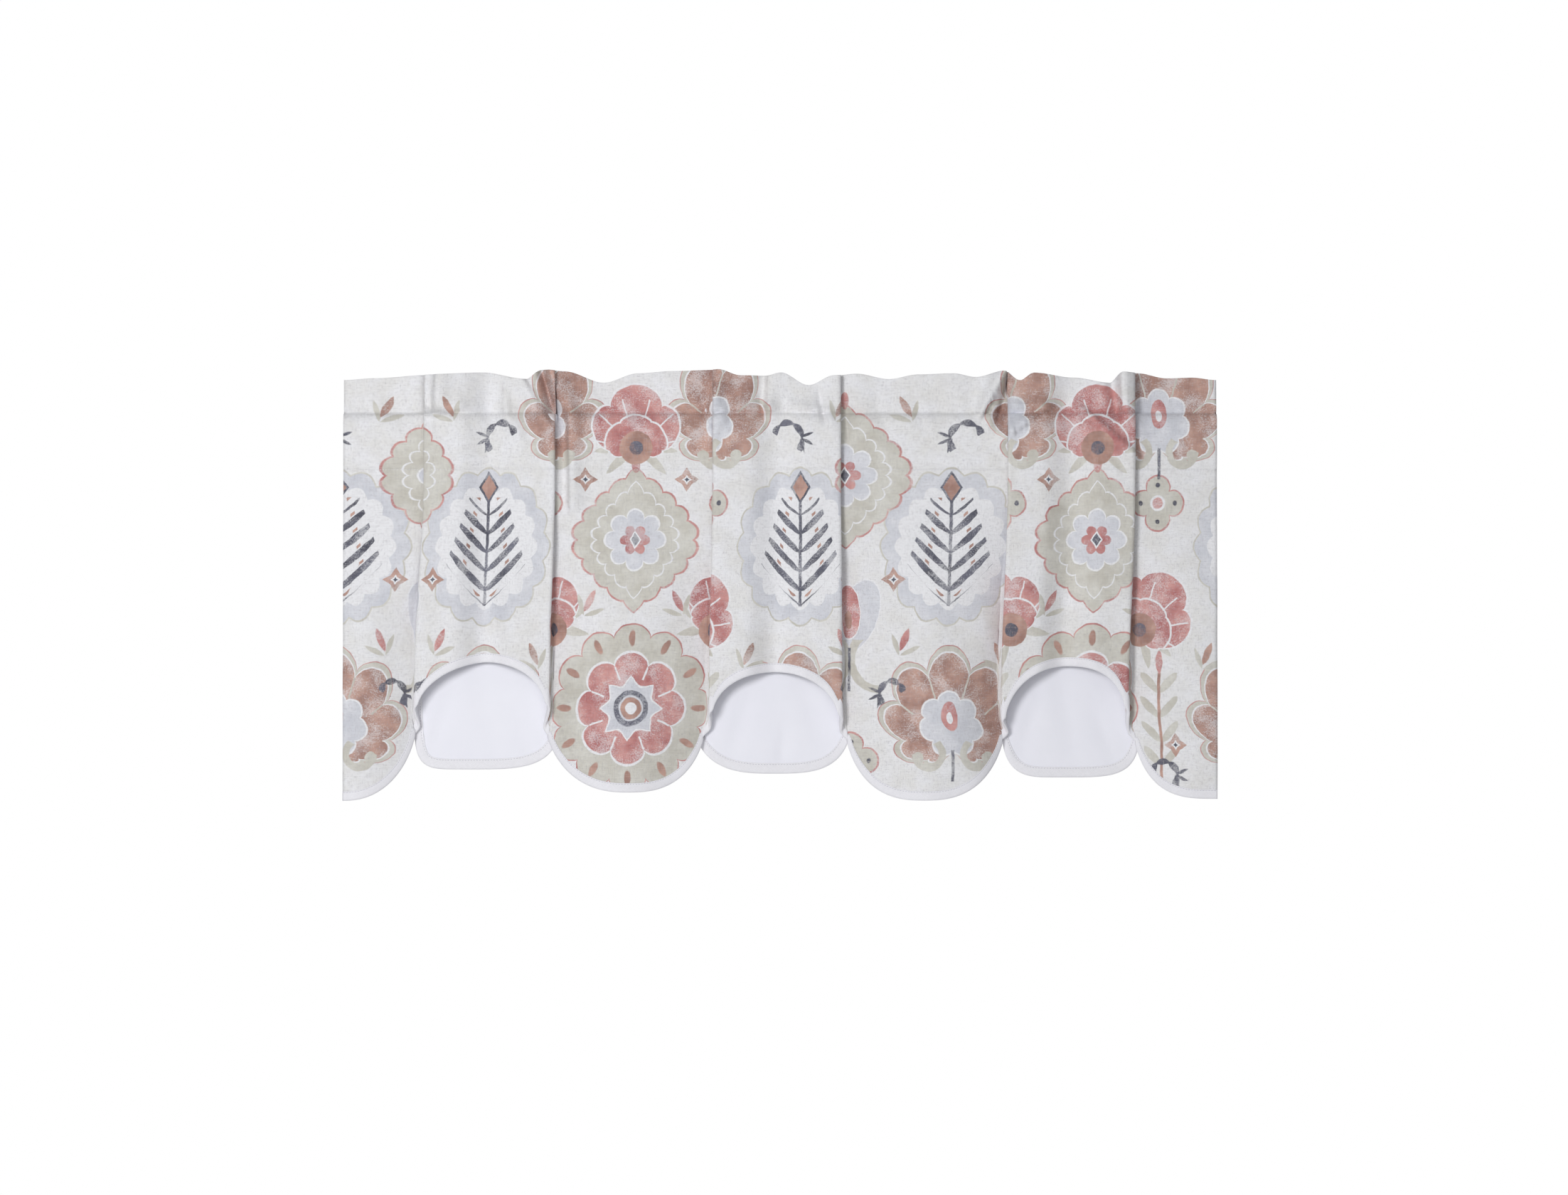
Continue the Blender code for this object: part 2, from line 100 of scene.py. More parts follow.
# Height of the uneven top edge, and how far the header ruffle stands back (+) or forward (-) there.
RUFFLE = ("x", "height", "back")
RUFFLES = (
    (-441.5, -3.2, 0.0),
    (-411.8, -1.4, -1.0),
    (-351.4, 2.2, -2.0),
    (-299.5, 4.3, -2.5),
    (-257.0, -2.5, 2.5),
    (-241.2, 7.2, -1.5),
    (-217.4, 5.4, -3.0),
    (-178.6, -5.8, 3.0),
    (-144.0, 3.6, -1.0),
    (-109.4, 5.8, -3.0),
    (-62.6, 7.2, -2.0),
    (-40.3, 1.4, 0.0),
    (-13.7, 1.1, 1.0),
    (0.7, 4.3, -1.0),
    (28.8, -8.6, 3.5),
    (54.7, 1.4, -1.0),
    (77.8, 3.2, -2.0),
    (110.2, -2.2, 1.0),
    (139.0, 2.5, -1.0),
    (175.7, 3.6, -2.0),
    (198.0, 0.0, 0.0),
    (226.8, 5.8, -3.0),
    (242.6, -3.6, 2.0),
    (256.3, 4.0, -1.0),
    (296.6, -0.7, -1.5),
    (333.4, -6.1, 2.5),
    (346.3, 4.7, -2.0),
    (362.2, 3.6, -1.0),
    (391.0, -1.4, 1.0),
    (417.6, -0.7, 1.0),
    (441.5, -3.2, 0.0),
)

# Soft folds that stand out at the back of the under panel, hidden from the room by the lobes.
BACK_FOLD = ("x", "depth", "half_width")
BACK_FOLDS = (
    (-391.0, 13.0, 8.0),
    (-213.0, 15.0, 8.0),
    (-155.0, 17.0, 10.0),
    (-107.0, 13.0, 8.0),
    (90.0, 14.0, 8.0),
    (148.0, 18.0, 10.0),
    (205.0, 14.0, 8.0),
    (383.0, 13.0, 8.0),
)

# Scallops of the under panel: centre, lowest point, reach to the left and right, and how square the
# two lower corners are.
DROP = ("x", "z_low", "left", "right", "square_left", "square_right")
DROPS = (
    (-315.4, -396.4, 54.6, 92.6, 5.4, 3.7),
    (-7.6, -400.7, 81.4, 80.0, 2.9, 3.3),
    (279.7, -404.5, 55.0, 84.8, 3.7, 4.7),
)
DROP_SHOULDER = -324.0  # where one scallop of the under panel meets the arch beside it
UNDER_ARCH_RISE = 34.0
BEYOND_HEM = 60.0  # the outer arches of the under panel are cut off by the side hems

TUCK_RADIUS, OPEN_RADIUS = 2.7, 3.0  # of a fold at the stitching, and low down
TUCK_TURN, OPEN_TURN = math.pi, math.radians(103)
OPEN_WALL, OPEN_FOOT = 9.0, 3.0  # cloth running straight back in an opened fold, and along its foot
TUCK_AT_TOP = 0.35  # how much of a tuck is left at the top edge
FALL = 95.0  # the skirt comes forward over this height below the pocket
BELLY_TURN, BELLY_FALL = -150.0, 150.0  # belly gives way to belly_low from here down, over this height
SKIRT = 330.0
BACK_PLANE_LOW = 5.0  # where the lobes' sides lie low down, in front of the under panel
FOOT_END, INNER_END, WALL_END = 0.38, 0.52, 0.86  # shares of a fold's hidden cloth, from the lobe
HIDDEN_PARTS = (0.0, FOOT_END, INNER_END, WALL_END, 1.0)
EDGE_PARTS = (0.0, 0.11, 0.36, 0.75, 1.0)  # how far the edge has risen from the cusp there
CLEAR_OF_TUCKS = 0.5  # share of an arched section's half width that has no tuck behind it
REACH = {"arch": 0.985, "lobe": 0.96}  # share of the curve's half width in use, short of upright
UNDER_PLANE_LOW = 11.5  # how far behind the seam plane the under panel hangs low down

# --- creases, puckers and ripples of the cloth -------------------------------------------------------

# Creases pressed or pulled into the face cloth, each along a line from its start to its end. rise is how
# far the cloth stands forward there, and turned is +1 or -1 where it drops off steeply on one side:
# for a line that runs down, +1 is the side to its right.
CREASE = ("x_start", "z_start", "x_end", "z_end", "width", "rise", "turned")
CREASES = (
    (-357.0, 2.0, -356.0, -32.0, 6.0, -5.2, 0),
    (-346.0, 2.0, -349.0, -34.0, 13.0, 7.1, -1),
    (-358.0, -40.5, -322.0, -33.0, 7.0, 8.2, -1),
    (-352.0, -30.0, -330.0, -34.0, 3.0, -6.0, 0),
    (-341.0, -20.0, -310.0, -30.0, 16.0, 2.8, 0),
    (-277.0, -18.0, -277.0, -36.0, 4.0, 4.6, 0),
    (-277.0, -36.0, -264.0, -60.0, 5.0, 3.2, 0),
    (-262.0, 0.0, -240.0, -36.0, 12.0, 7.1, +1),
    (-262.0, -26.0, -232.0, -37.0, 6.0, -4.3, 0),
    (-242.5, 10.0, -229.0, -36.0, 4.6, -17.0, 0),
    (-232.0, 6.0, -217.0, -35.0, 12.0, 8.8, -1),
    (-220.0, -40.0, -219.0, -125.0, 4.5, -4.6, 0),
    (-212.5, -36.0, -211.0, -128.0, 11.0, 7.1, -1),
    (-62.0, 6.0, -72.0, -35.0, 10.0, 7.1, -1),
    (-84.0, -54.0, -60.0, -37.0, 5.0, 7.1, +1),
    (-92.0, -44.0, -76.0, -36.0, 4.0, -5.2, 0),
    (-64.0, -34.0, -12.0, -33.0, 6.0, 7.8, -1),
    (-70.0, -62.0, -58.0, -44.0, 4.0, 3.9, 0),
    (-10.0, 6.0, -10.5, -34.0, 22.0, 9.9, -1),
    (-18.0, 4.0, -19.0, -30.0, 6.0, -4.3, 0),
    (14.0, -31.0, 46.0, -36.0, 5.0, 6.0, -1),
    (41.0, -22.0, 44.0, -38.0, 4.0, -6.3, 0),
    (66.0, -36.0, 68.0, -60.0, 4.0, -4.6, 0),
    (229.0, 7.0, 206.0, -34.0, 8.0, 12.4, +1),
    (232.0, -6.0, 222.0, -40.0, 5.0, -15.0, 0),
    (224.0, -31.0, 268.0, -33.0, 6.0, 8.2, -1),
    (266.0, -34.0, 230.0, -60.0, 8.0, 8.2, +1),
    (345.0, 5.0, 347.0, -36.0, 13.0, 10.6, -1),
    (336.0, 4.0, 339.0, -37.0, 6.0, -8.2, 0),
    (308.0, -34.0, 356.0, -76.0, 10.0, 9.2, +1),
    (300.0, -44.0, 344.0, -84.0, 7.0, -3.5, 0),
)
STEEP = 0.2  # width of a crease's steep side, beside its gentle one
CREASED_TOGETHER = 6.0  # the under panel stops following the creases this far below the upper stitching
END_FADE = 9.0  # a crease dies out over this length at its ends

# Puckers that the two rows of stitching draw up: waves along the cloth, in millimetres.
PUCKER = ("wave", "phase", "height")
PUCKERS = ((31.0, 0.4, 0.75), (19.3, 1.9, 0.55), (12.7, 4.1, 0.3), (47.0, 2.6, 0.8))
PUCKER_REACH = 6.0  # distance from the stitching at which the puckers are fullest
PUCKER_END, PUCKER_SLANT = 6.0, 0.3  # they end at this many times the reach, and run this far aslant
LOW_PUCKERS = 0.3  # how strong they are at the lower row, beside the upper one
GROOVE, GROOVE_WIDTH = 0.3, 1.6  # the thread pulls the cloth in by this much
RIPPLES = ((121.0, 83.0, 0.9), (77.0, -140.0, 0.7), (53.0, 210.0, 0.45))  # wave, slant, height

# Faint dents in the scallops of the under panel.
SATIN_FOLD = ("x", "z", "width", "length", "slant", "rise")
SATIN_FOLDS = (
    (-345.0, -352.0, 9.0, 34.0, 0.35, -1.2),
    (-300.0, -330.0, 12.0, 44.0, -0.25, -1.4),
    (-262.0, -362.0, 9.0, 30.0, -0.45, -1.1),
    (-40.0, -350.0, 10.0, 38.0, 0.30, -1.3),
    (2.0, -378.0, 7.0, 22.0, 0.10, -1.6),
    (34.0, -345.0, 11.0, 40.0, -0.35, -1.2),
    (252.0, -356.0, 9.0, 36.0, 0.30, -1.2),
    (290.0, -340.0, 12.0, 48.0, -0.15, -1.4),
    (330.0, -366.0, 8.0, 28.0, -0.40, -1.1),
)


def rows(columns, table):
    return [dict(zip(columns, row)) for row in table]


FOLD_ROWS = rows(FOLD, FOLDS)
SECTION_ROWS = rows(SECTION, SECTIONS)
RUFFLE_ROWS = rows(RUFFLE, RUFFLES)
BACK_FOLD_ROWS = rows(BACK_FOLD, BACK_FOLDS)
DROP_ROWS = rows(DROP, DROPS)
CREASE_ROWS = rows(CREASE, CREASES)
PUCKER_ROWS = rows(PUCKER, PUCKERS)
SATIN_ROWS = rows(SATIN_FOLD, SATIN_FOLDS)


def blend(a, b, t):
    return a + (b - a) * t


def ease(t):
    t = min(max(t, 0.0), 1.0)
    return t * t * (3 - 2 * t)


def down(z):
    """0 at the lower stitching and 1 where the folds have opened out."""
    return ease((LOWER_STITCHING - z) / (LOWER_STITCHING - ARCH_SIDE))


def pocket_bulge(z, low_end):
    """How far a panel stands out round the rod pocket: nothing at the upper stitching and above it, and
    low_end at the lower one and below it."""
    middle = (UPPER_STITCHING + LOWER_STITCHING) / 2
    reach = (UPPER_STITCHING - LOWER_STITCHING) / 2
    end = 0.0 if z > middle else low_end
    return blend(end, POCKET_DEPTH, math.sqrt(max(0.0, 1 - abs((z - middle) / reach) ** POCKET_SQUARE)))


def ruffle(x, column):
    for left, right in zip(RUFFLE_ROWS, RUFFLE_ROWS[1:]):
        if x <= right["x"]:
            break
    return blend(left[column], right[column], ease((x - left["x"]) / (right["x"] - left["x"])))


def seam_plane(x, z):
    """Both panels follow the header's ruffle, which dies out at the stitching."""
    return ruffle(x, "back") * ease((z - UPPER_STITCHING) / RUFFLE_HEIGHT)


def creases(x, z):
    """How far the creases move the cloth towards the room at one place."""
    total = 0.0
    for crease in CREASE_ROWS:
        dx, dz = crease["x_end"] - crease["x_start"], crease["z_end"] - crease["z_start"]
        length = math.hypot(dx, dz)
        along = ((x - crease["x_start"]) * dx + (z - crease["z_start"]) * dz) / length
        past = max(-along, along - length, 0.0)
        if past > 2 * END_FADE:
            continue
        aside = ((z - crease["z_start"]) * dx - (x - crease["x_start"]) * dz) / length
        width = crease["width"] * (STEEP if aside * crease["turned"] > 0 else 1.0)
        total += crease["rise"] * math.exp(-((aside / width) ** 2) - (past / END_FADE) ** 2)
    return total


def puckers(u, z):
    """Small gathers beside each row of stitching, and the groove that the thread pulls."""
    total = 0.0
    for row in (UPPER_STITCHING, LOWER_STITCHING):
        away = abs(z - row) / PUCKER_REACH
        if away > PUCKER_END:
            continue
        slant = PUCKER_SLANT * (z - row)
        share = LOW_PUCKERS if row == LOWER_STITCHING else 1.0
        waves = sum(share * p["height"] * math.sin(math.tau * (u + slant) / p["wave"] + p["phase"] + row)
                    for p in PUCKER_ROWS)
        total += waves * away * math.exp(1 - away) - GROOVE * math.exp(-(((z - row) / GROOVE_WIDTH) ** 2))
    return total


def ripples(u, z):
    """The gentle unevenness of the hanging skirt."""
    share = ease((LOWER_STITCHING - z) / FALL)
    return share * sum(high * math.sin(math.tau * (u / wave + z / slant)) for wave, slant, high in RIPPLES)


# --- face panel --------------------------------------------------------------------------------------


def back_plane(z):
    if z > LOWER_STITCHING:
        return -PLANE - pocket_bulge(z, LOW_SEAM_FORWARD)
    return blend(-PLANE - LOW_SEAM_FORWARD, BACK_PLANE_LOW, down(z))


def fold_line(fold, z):
    if z > ARCH_SIDE:
        return blend(fold["x_pocket"], fold["x_arch"], down(z))
    low = ease((ARCH_SIDE - z) / (ARCH_SIDE - fold["z_cusp"]))
    return blend(fold["x_arch"], fold["x_cusp"], low * low)


def fold_size(fold, z):
    """Radius, turn, return and foot of a fold at one height, and how deep and wide that makes it."""
    d = down(z)
    radius = blend(TUCK_RADIUS, OPEN_RADIUS, d)
    turn = blend(TUCK_TURN, OPEN_TURN, d)
    tuck = (fold["tucked"] - (1 + 2 * math.pi) * TUCK_RADIUS) / 2
    if z > UPPER_STITCHING:
        tuck = tuck * blend(1.0, TUCK_AT_TOP, ease((z - UPPER_STITCHING) / -UPPER_STITCHING))
    wall = blend(tuck, OPEN_WALL, d)
    foot = blend(tuck + TUCK_RADIUS, OPEN_FOOT, d)
    deep = 2 * radius * (1 - math.cos(turn)) + wall * math.sin(turn)
    wide = foot + 2 * radius * math.sin(turn) + wall * math.cos(turn)
    return radius, turn, wall, foot, deep, wide


def fold_point(fold, t, z):
    """The hidden cloth of a fold, from the lobe (t = 0) round behind the arched section (t = 1)."""
    radius, turn, wall, foot, deep, wide = fold_size(fold, z)
    if t < FOOT_END:
        across, forward = foot * t / FOOT_END, 0.0
    elif t < INNER_END:
        angle = turn * (t - FOOT_END) / (INNER_END - FOOT_END)
        across, forward = foot + radius * math.sin(angle), radius * (1 - math.cos(angle))
    elif t < WALL_END:
        along = wall * (t - INNER_END) / (WALL_END - INNER_END)
        across = foot + radius * math.sin(turn) + along * math.cos(turn)
        forward = radius * (1 - math.cos(turn)) + along * math.sin(turn)
    else:
        angle = turn * (1 - t) / (1 - WALL_END)
        across, forward = wide - radius * math.sin(angle), deep - radius * (1 - math.cos(angle))
    x = fold_line(fold, z) + fold["front"] * (across + radius - wide)
    return x, back_plane(z) - forward


def section_flat_ends():
    """Where each section starts and ends along the flat cut width, left to right."""
    ends, at = [], 0.0
    for i in range(len(SECTION_ROWS)):
        left = FOLD_ROWS[i - 1]["x_arch"] if i else -WIDTH / 2
        right = FOLD_ROWS[i]["x_arch"] if i < len(FOLD_ROWS) else WIDTH / 2
        ends.append((at, at + right - left))
        at = ends[-1][1] + (FOLD_ROWS[i]["tucked"] if i < len(FOLD_ROWS) else 0.0)
    return ends


FLAT_ENDS = section_flat_ends()
FLAT_WIDTH = FLAT_ENDS[-1][1]


def across_section(i, u):
    """Place across a section: -1 at its left fold and 1 at its right one; a side hem is 0."""
    start, end = FLAT_ENDS[i]
    part = (u - start) / (end - start)
    if i == 0:
        return part
    return part - 1 if i == len(FLAT_ENDS) - 1 else 2 * part - 1


def section_point(i, u, z):
    section, place = SECTION_ROWS[i], across_section(i, u)
    left = fold_point(FOLD_ROWS[i - 1], 1.0 if section["kind"] == "arch" else 0.0, z) if i else None
    right = None
    if i < len(FOLD_ROWS):
        right = fold_point(FOLD_ROWS[i], 1.0 if section["kind"] == "arch" else 0.0, z)
    start, end = FLAT_ENDS[i]
    x_left = left[0] if left else -WIDTH / 2
    x_right = right[0] if right else WIDTH / 2
    x = blend(x_left, x_right, (u - start) / (end - start))
    y_edge = blend((left or right)[1], (right or left)[1], (u - start) / (end - start))
    swing = blend(POCKET_SHARE, 1.0, ease((LOWER_STITCHING - z) / SKIRT))
    fall = ease((LOWER_STITCHING - z) / FALL)
    belly = blend(section["belly"], section["belly_low"], ease((BELLY_TURN - z) / BELLY_FALL))
    y_belly = -PLANE - blend(pocket_bulge(z, LOW_SEAM_FORWARD), belly * swing, fall)
    if section["kind"] == "arch":
        return x, blend(y_belly, y_edge, ease(abs(place) / CLEAR_OF_TUCKS))
    place = place - section["lean"] * (1 - place * place)
    return x, blend(y_belly, y_edge, place * place)


def fold_at(u):
    """The fold whose hidden cloth holds the place u, and how far along it u lies; else None."""
    for (_, end), fold in zip(FLAT_ENDS, FOLD_ROWS):
        if end < u < end + fold["tucked"]:
            t = (u - end) / fold["tucked"]
            return fold, 1 - t if fold["front"] < 0 else t
    return None, 0.0


def section_at(u):
    for i, (_, end) in enumerate(FLAT_ENDS):
        if u <= end or i == len(FLAT_ENDS) - 1 or u < FLAT_ENDS[i + 1][0]:
            return i


def face_point(u, z):
    """Where the point at u along the flat width hangs, at the height z."""
    fold, t = fold_at(u)
    if fold:
        x, y = fold_point(fold, t, z)
        shown = ease((t - WALL_END) / (1 - WALL_END))
    else:
        x, y = section_point(section_at(u), u, z)
        shown = 1.0
    relief = creases(x, z) * (shown if z < UPPER_STITCHING else 1.0)
    relief += (puckers(u, z) + ripples(u, z)) * shown
    return x, y + seam_plane(x, z) - relief


def rounded(place, power, reach):
    """0 in the middle and 1 at the ends, as the side of an ellipse or a squarer curve."""
    def drop(p):
        return 1 - math.sqrt(1 - (reach * p) ** power)
    return drop(min(abs(place), 1.0)) / drop(1.0)


def face_edge(u):
    """Height of the scalloped edge of the face panel."""
    fold, t = fold_at(u)
    if fold:
        return blend(fold["z_cusp"], fold["z_side"], float(np.interp(t, HIDDEN_PARTS, EDGE_PARTS)))
    i = section_at(u)
    section, place = SECTION_ROWS[i], across_section(i, min(max(u, FLAT_ENDS[i][0]), FLAT_ENDS[i][1]))
    side = "z_side" if section["kind"] == "arch" else "z_cusp"
    fold = FOLD_ROWS[max(i - 1, 0)] if place < 0 else FOLD_ROWS[min(i, len(FOLD_ROWS) - 1)]
    place = place - section["shift"] * (1 - place * place)
    shape = rounded(place, section["square"], REACH[section["kind"]])
    return blend(section["z_end"], fold[side], shape)


# --- under panel -------------------------------------------------------------------------------------


def satin_relief(x, z):
    total = 0.0
    for fold in SATIN_ROWS:
        dz = z - fold["z"]
        dx = x - fold["x"] - fold["slant"] * dz
        total += fold["rise"] * math.exp(-((dx / fold["width"]) ** 2) - (dz / fold["length"]) ** 2)
    return total


def under_point(x, z):
    y = PLANE + pocket_bulge(z, -LOW_SEAM_FORWARD)
    if z < LOWER_STITCHING:
        y = blend(PLANE - LOW_SEAM_FORWARD, UNDER_PLANE_LOW, down(z))
    y += HEADER_EASE * ease((z - UPPER_STITCHING) / (RUFFLE_HEIGHT / 3))
    held = blend(POCKET_SHARE, 1.0, down(z))
    for fold in BACK_FOLD_ROWS:
        y += held * fold["depth"] * math.exp(-(((x - fold["x"]) / fold["half_width"]) ** 2))
    y -= creases(x, z) * ease((z - UPPER_STITCHING) / CREASED_TOGETHER + 1)
    y -= satin_relief(x, z) - GROOVE * math.exp(-(((z - LOWER_STITCHING) / GROOVE_WIDTH) ** 2))
    return x, y + seam_plane(x, z)


def under_edge(x):
    """Height of the under panel's edge: a squarish scallop in each arch and an arch between them."""
    for drop in DROP_ROWS:
        side = "left" if x < drop["x"] else "right"
        place, square = abs(x - drop["x"]) / drop[side], drop["square_" + side]
        if place < 1:
            return blend(DROP_SHOULDER, drop["z_low"], (1 - place**square) ** (1 / square))
    ends = [-WIDTH / 2 - BEYOND_HEM]
    for drop in DROP_ROWS:
        ends += [drop["x"] - drop["left"], drop["x"] + drop["right"]]
    ends.append(WIDTH / 2 + BEYOND_HEM)
    for left, right in zip(ends[::2], ends[1::2]):
        if left <= x <= right:
            place = (2 * x - left - right) / (right - left)
            return DROP_SHOULDER + UNDER_ARCH_RISE * math.sqrt(max(0.0, 1 - place * place))
    return DROP_SHOULDER


# --- meshes ------------------------------------------------------------------------------------------

NEARBY = 0.4
EDGE_SAMPLES = 81
FINE = 0.5  # spacing at which the cloth is measured before its columns are placed
CREASED_HEIGHTS = (-8.0, -22.0, -50.0, -70.0)
CREASE_WEIGHT, MOST_WEIGHT = 2.4, 3.0  # how much closer the columns stand where a crease is steep
HIDDEN_WEIGHT = 1.7  # how much closer the columns stand where the cloth turns in a fold
EDGE_WEIGHT = 0.45


# A cloth: where each of its points hangs, its scalloped edge, and where it starts and ends. The face
# cloth is measured along its flat width and the under panel along X.
Sheet = namedtuple("Sheet", ("point", "edge", "low", "high"))
FACE = Sheet(face_point, face_edge, 0.0, FLAT_WIDTH)
UNDER = Sheet(under_point, under_edge, -WIDTH / 2, WIDTH / 2)


def offset_edge(cloth, u, distance):
    """Height at u of a line that keeps a distance above the edge, or below it where that is negative."""
    reach = abs(distance)
    near = np.linspace(max(cloth.low, u - reach), min(cloth.high, u + reach), EDGE_SAMPLES)
    rises = np.sqrt(np.maximum(0.0, distance**2 - (near - u) ** 2))
    if distance > 0:
        return max(cloth.edge(s) + r for s, r in zip(near, rises))
    return min(cloth.edge(s) - r for s, r in zip(near, rises))


def even_places(cloth, step, edge_weight):
    """Places along the cloth, closer together where its edge is steep, at creases and in the folds."""
    fine = np.linspace(cloth.low, cloth.high, int((cloth.high - cloth.low) / FINE) + 1)
    heights = np.array([cloth.edge(u) for u in fine])
    weight = np.ones(len(fine) - 1)
    if cloth is FACE:
        weight[:] = [HIDDEN_WEIGHT if fold_at((a + b) / 2)[0] else 1.0 for a, b in zip(fine, fine[1:])]
        for z in CREASED_HEIGHTS:
            relief = np.array([creases(face_point(u, z)[0], z) for u in fine])
            steepness = np.abs(np.diff(relief)) / FINE
            weight = np.maximum(weight, np.minimum(steepness * CREASE_WEIGHT, MOST_WEIGHT))
    run = np.hypot(np.diff(fine) * weight, np.diff(heights) * edge_weight)
    along = np.concatenate(([0.0], np.cumsum(run)))
    return np.interp(np.linspace(0, along[-1], int(along[-1] / step) + 1), along, fine)


def across_cloth(cloth, u, z):
    """Level direction square to the cloth at one place, towards the room."""
    a, b = cloth.point(max(cloth.low, u - NEARBY), z), cloth.point(min(cloth.high, u + NEARBY), z)
    dx, dy = b[0] - a[0], b[1] - a[1]
    length = math.hypot(dx, dy)
    return dy / length, -dx / length


def placed(cloth, u, z, out):
    """A point that lies out from the cloth."""
    x, y = cloth.point(u, z)
    nx, ny = across_cloth(cloth, u, z)
    return x + nx * out, y + ny * out, z


def grid_faces(columns, lines, start, outward):
    """Four-sided faces of a grid of points stored column by column."""
    index = np.arange(columns * lines).reshape(columns, lines) + start
    a, b = index[:-1, :-1], index[:-1, 1:]
    c, d = index[1:, 1:], index[1:, :-1]
    quads = np.stack((a, b, c, d) if outward else (a, d, c, b), axis=-1)
    return quads.reshape(-1, 4)


def add_mesh(name, vertices, faces, flat=None):
    mesh = bpy.data.meshes.new(name)
    mesh.from_pydata([tuple(v) for v in np.asarray(vertices) * METRES], [], [tuple(f) for f in faces])
    if flat is not None:
        places = mesh.attributes.new("flat", "FLOAT_VECTOR", "POINT")
        places.data.foreach_set("vector", np.asarray(flat, dtype=np.float32).ravel())
    mesh.shade_smooth()
    piece = bpy.data.objects.new(name, mesh)
    bpy.context.scene.collection.objects.link(piece)
    return piece


PANEL_STEP = 3.7  # between two columns of the mesh, before the weights
ROW_COUNTS = {"header": 9, "pocket": 18, "skirt": 56, "bound": 4}  # bound: under the binding
BOUND_HEIGHT = 8.5  # a row of the mesh follows the scalloped edge this far above it
RIM, RIM_LEAST = 1.3, 0.12  # the top edge and side hems are rounded over RIM, down to a share of it
RIM_ROWS = (0.0, 0.25, 0.6)  # rows of the rounded top edge, as shares of RIM
CLOSER_HEADER, CLOSER_POCKET, CLOSER_FOLDS = 0.6, 0.75, 0.09  # how much closer rows stand at their ends


def closer_at_ends(count, share):
    """count + 1 numbers from 0 to 1, closer together at both ends."""
    t = np.linspace(0.0, 1.0, count + 1)
    return blend(t, (1 - np.cos(np.pi * t)) / 2, share)


def cloth_heights(cloth, u):
    """Heights of the rows of the mesh at one place along the cloth, top to bottom."""
    x, _ = cloth.point(u, 0.0)
    top = ruffle(x, "height") + (UNDER_TOP if cloth is UNDER else 0.0)
    bottom = cloth.edge(u)
    bound = max(offset_edge(cloth, u, BOUND_HEIGHT), bottom + 1.0)
    rim = top - RIM * np.array(RIM_ROWS)
    header = blend(top - RIM, UPPER_STITCHING, closer_at_ends(ROW_COUNTS["header"], CLOSER_HEADER))
    pocket = blend(UPPER_STITCHING, LOWER_STITCHING, closer_at_ends(ROW_COUNTS["pocket"], CLOSER_POCKET))
    way = np.linspace(0.0, 1.0, ROW_COUNTS["skirt"] + 1)
    skirt = blend(LOWER_STITCHING, bound, way - CLOSER_FOLDS * np.sin(2 * np.pi * way) * (1 - way))
    low_rows = blend(bound, bottom, np.linspace(0.0, 1.0, ROW_COUNTS["bound"] + 1))
    return np.concatenate((rim, header[:-1], pocket[:-1], skirt[:-1], low_rows))


def half_thickness(cloth, places, heights):
    """Half the cloth's thickness at each point, which rounds off at the top edge and the side hems."""
    below_top = heights[:, :1] - heights
    in_from_side = np.minimum(places - cloth.low, cloth.high - places)[:, None]
    inside_rim = np.clip(np.minimum(below_top, in_from_side) / RIM, RIM_LEAST, 1.0)
    return CLOTH / 2 * np.sqrt(1 - (1 - inside_rim) ** 2)


def rim_faces(columns, lines):
    """Faces that join the front of a cloth to its back, all the way round."""
    count = columns * lines
    side, top = np.arange(lines), np.arange(columns) * lines
    faces = []
    for rim, turned in ((side, False), (side + count - lines, True), (top, True), (top + lines - 1, False)):
        a, b = rim[:-1], rim[1:]
        quads = np.stack((a, a + count, b + count, b), axis=-1)
        faces.append(quads[:, ::-1] if turned else quads)
    return faces


def sheet_size(middle, heights):
    """Flat width and longest drop of a cloth, and its area, in metres and square metres."""
    widths = np.linalg.norm(np.diff(middle[:, middle.shape[1] // 2], axis=0), axis=1)
    drops = heights[:, 0] - heights[:, -1]
    area = float(np.sum(widths * (drops[:-1] + drops[1:]) / 2)) * METRES**2
    return (float(widths.sum()) * METRES, float(drops.max()) * METRES), area


def panel(name, cloth):
    """One cloth from the top edge to the scalloped edge: two faces and a rim all round."""
    places = even_places(cloth, PANEL_STEP, EDGE_WEIGHT)
    heights = np.array([cloth_heights(cloth, u) for u in places])
    middle = np.array([[(*cloth.point(u, z), z) for z in line] for u, line in zip(places, heights)])
    outward = np.cross(np.gradient(middle, axis=1), np.gradient(middle, axis=0))
    outward /= np.linalg.norm(outward, axis=2, keepdims=True)
    half = half_thickness(cloth, places, heights)[..., None]
    layers, flats = [], []
    for side in (1.0, -1.0):
        layers.append((middle + outward * (side * half)).reshape(-1, 3))
        flats.append(np.stack(np.broadcast_arrays(places[:, None], heights, side), axis=-1).reshape(-1, 3))
    columns, lines = heights.shape
    faces = [grid_faces(columns, lines, 0, True), grid_faces(columns, lines, columns * lines, False)]
    faces += rim_faces(columns, lines)
    piece = add_mesh(name, np.concatenate(layers), np.concatenate(faces), np.concatenate(flats))
    return piece, *sheet_size(middle, heights)


FACE_STRIP, UNDER_STRIP = 8.6, 9.8  # how far each strip reaches above the scalloped edge
STEEP_SHARE = 0.55  # the strip is pulled narrower where its edge runs steeply
BINDING_STEP = 2.1
BINDING_CLOTH = 0.8
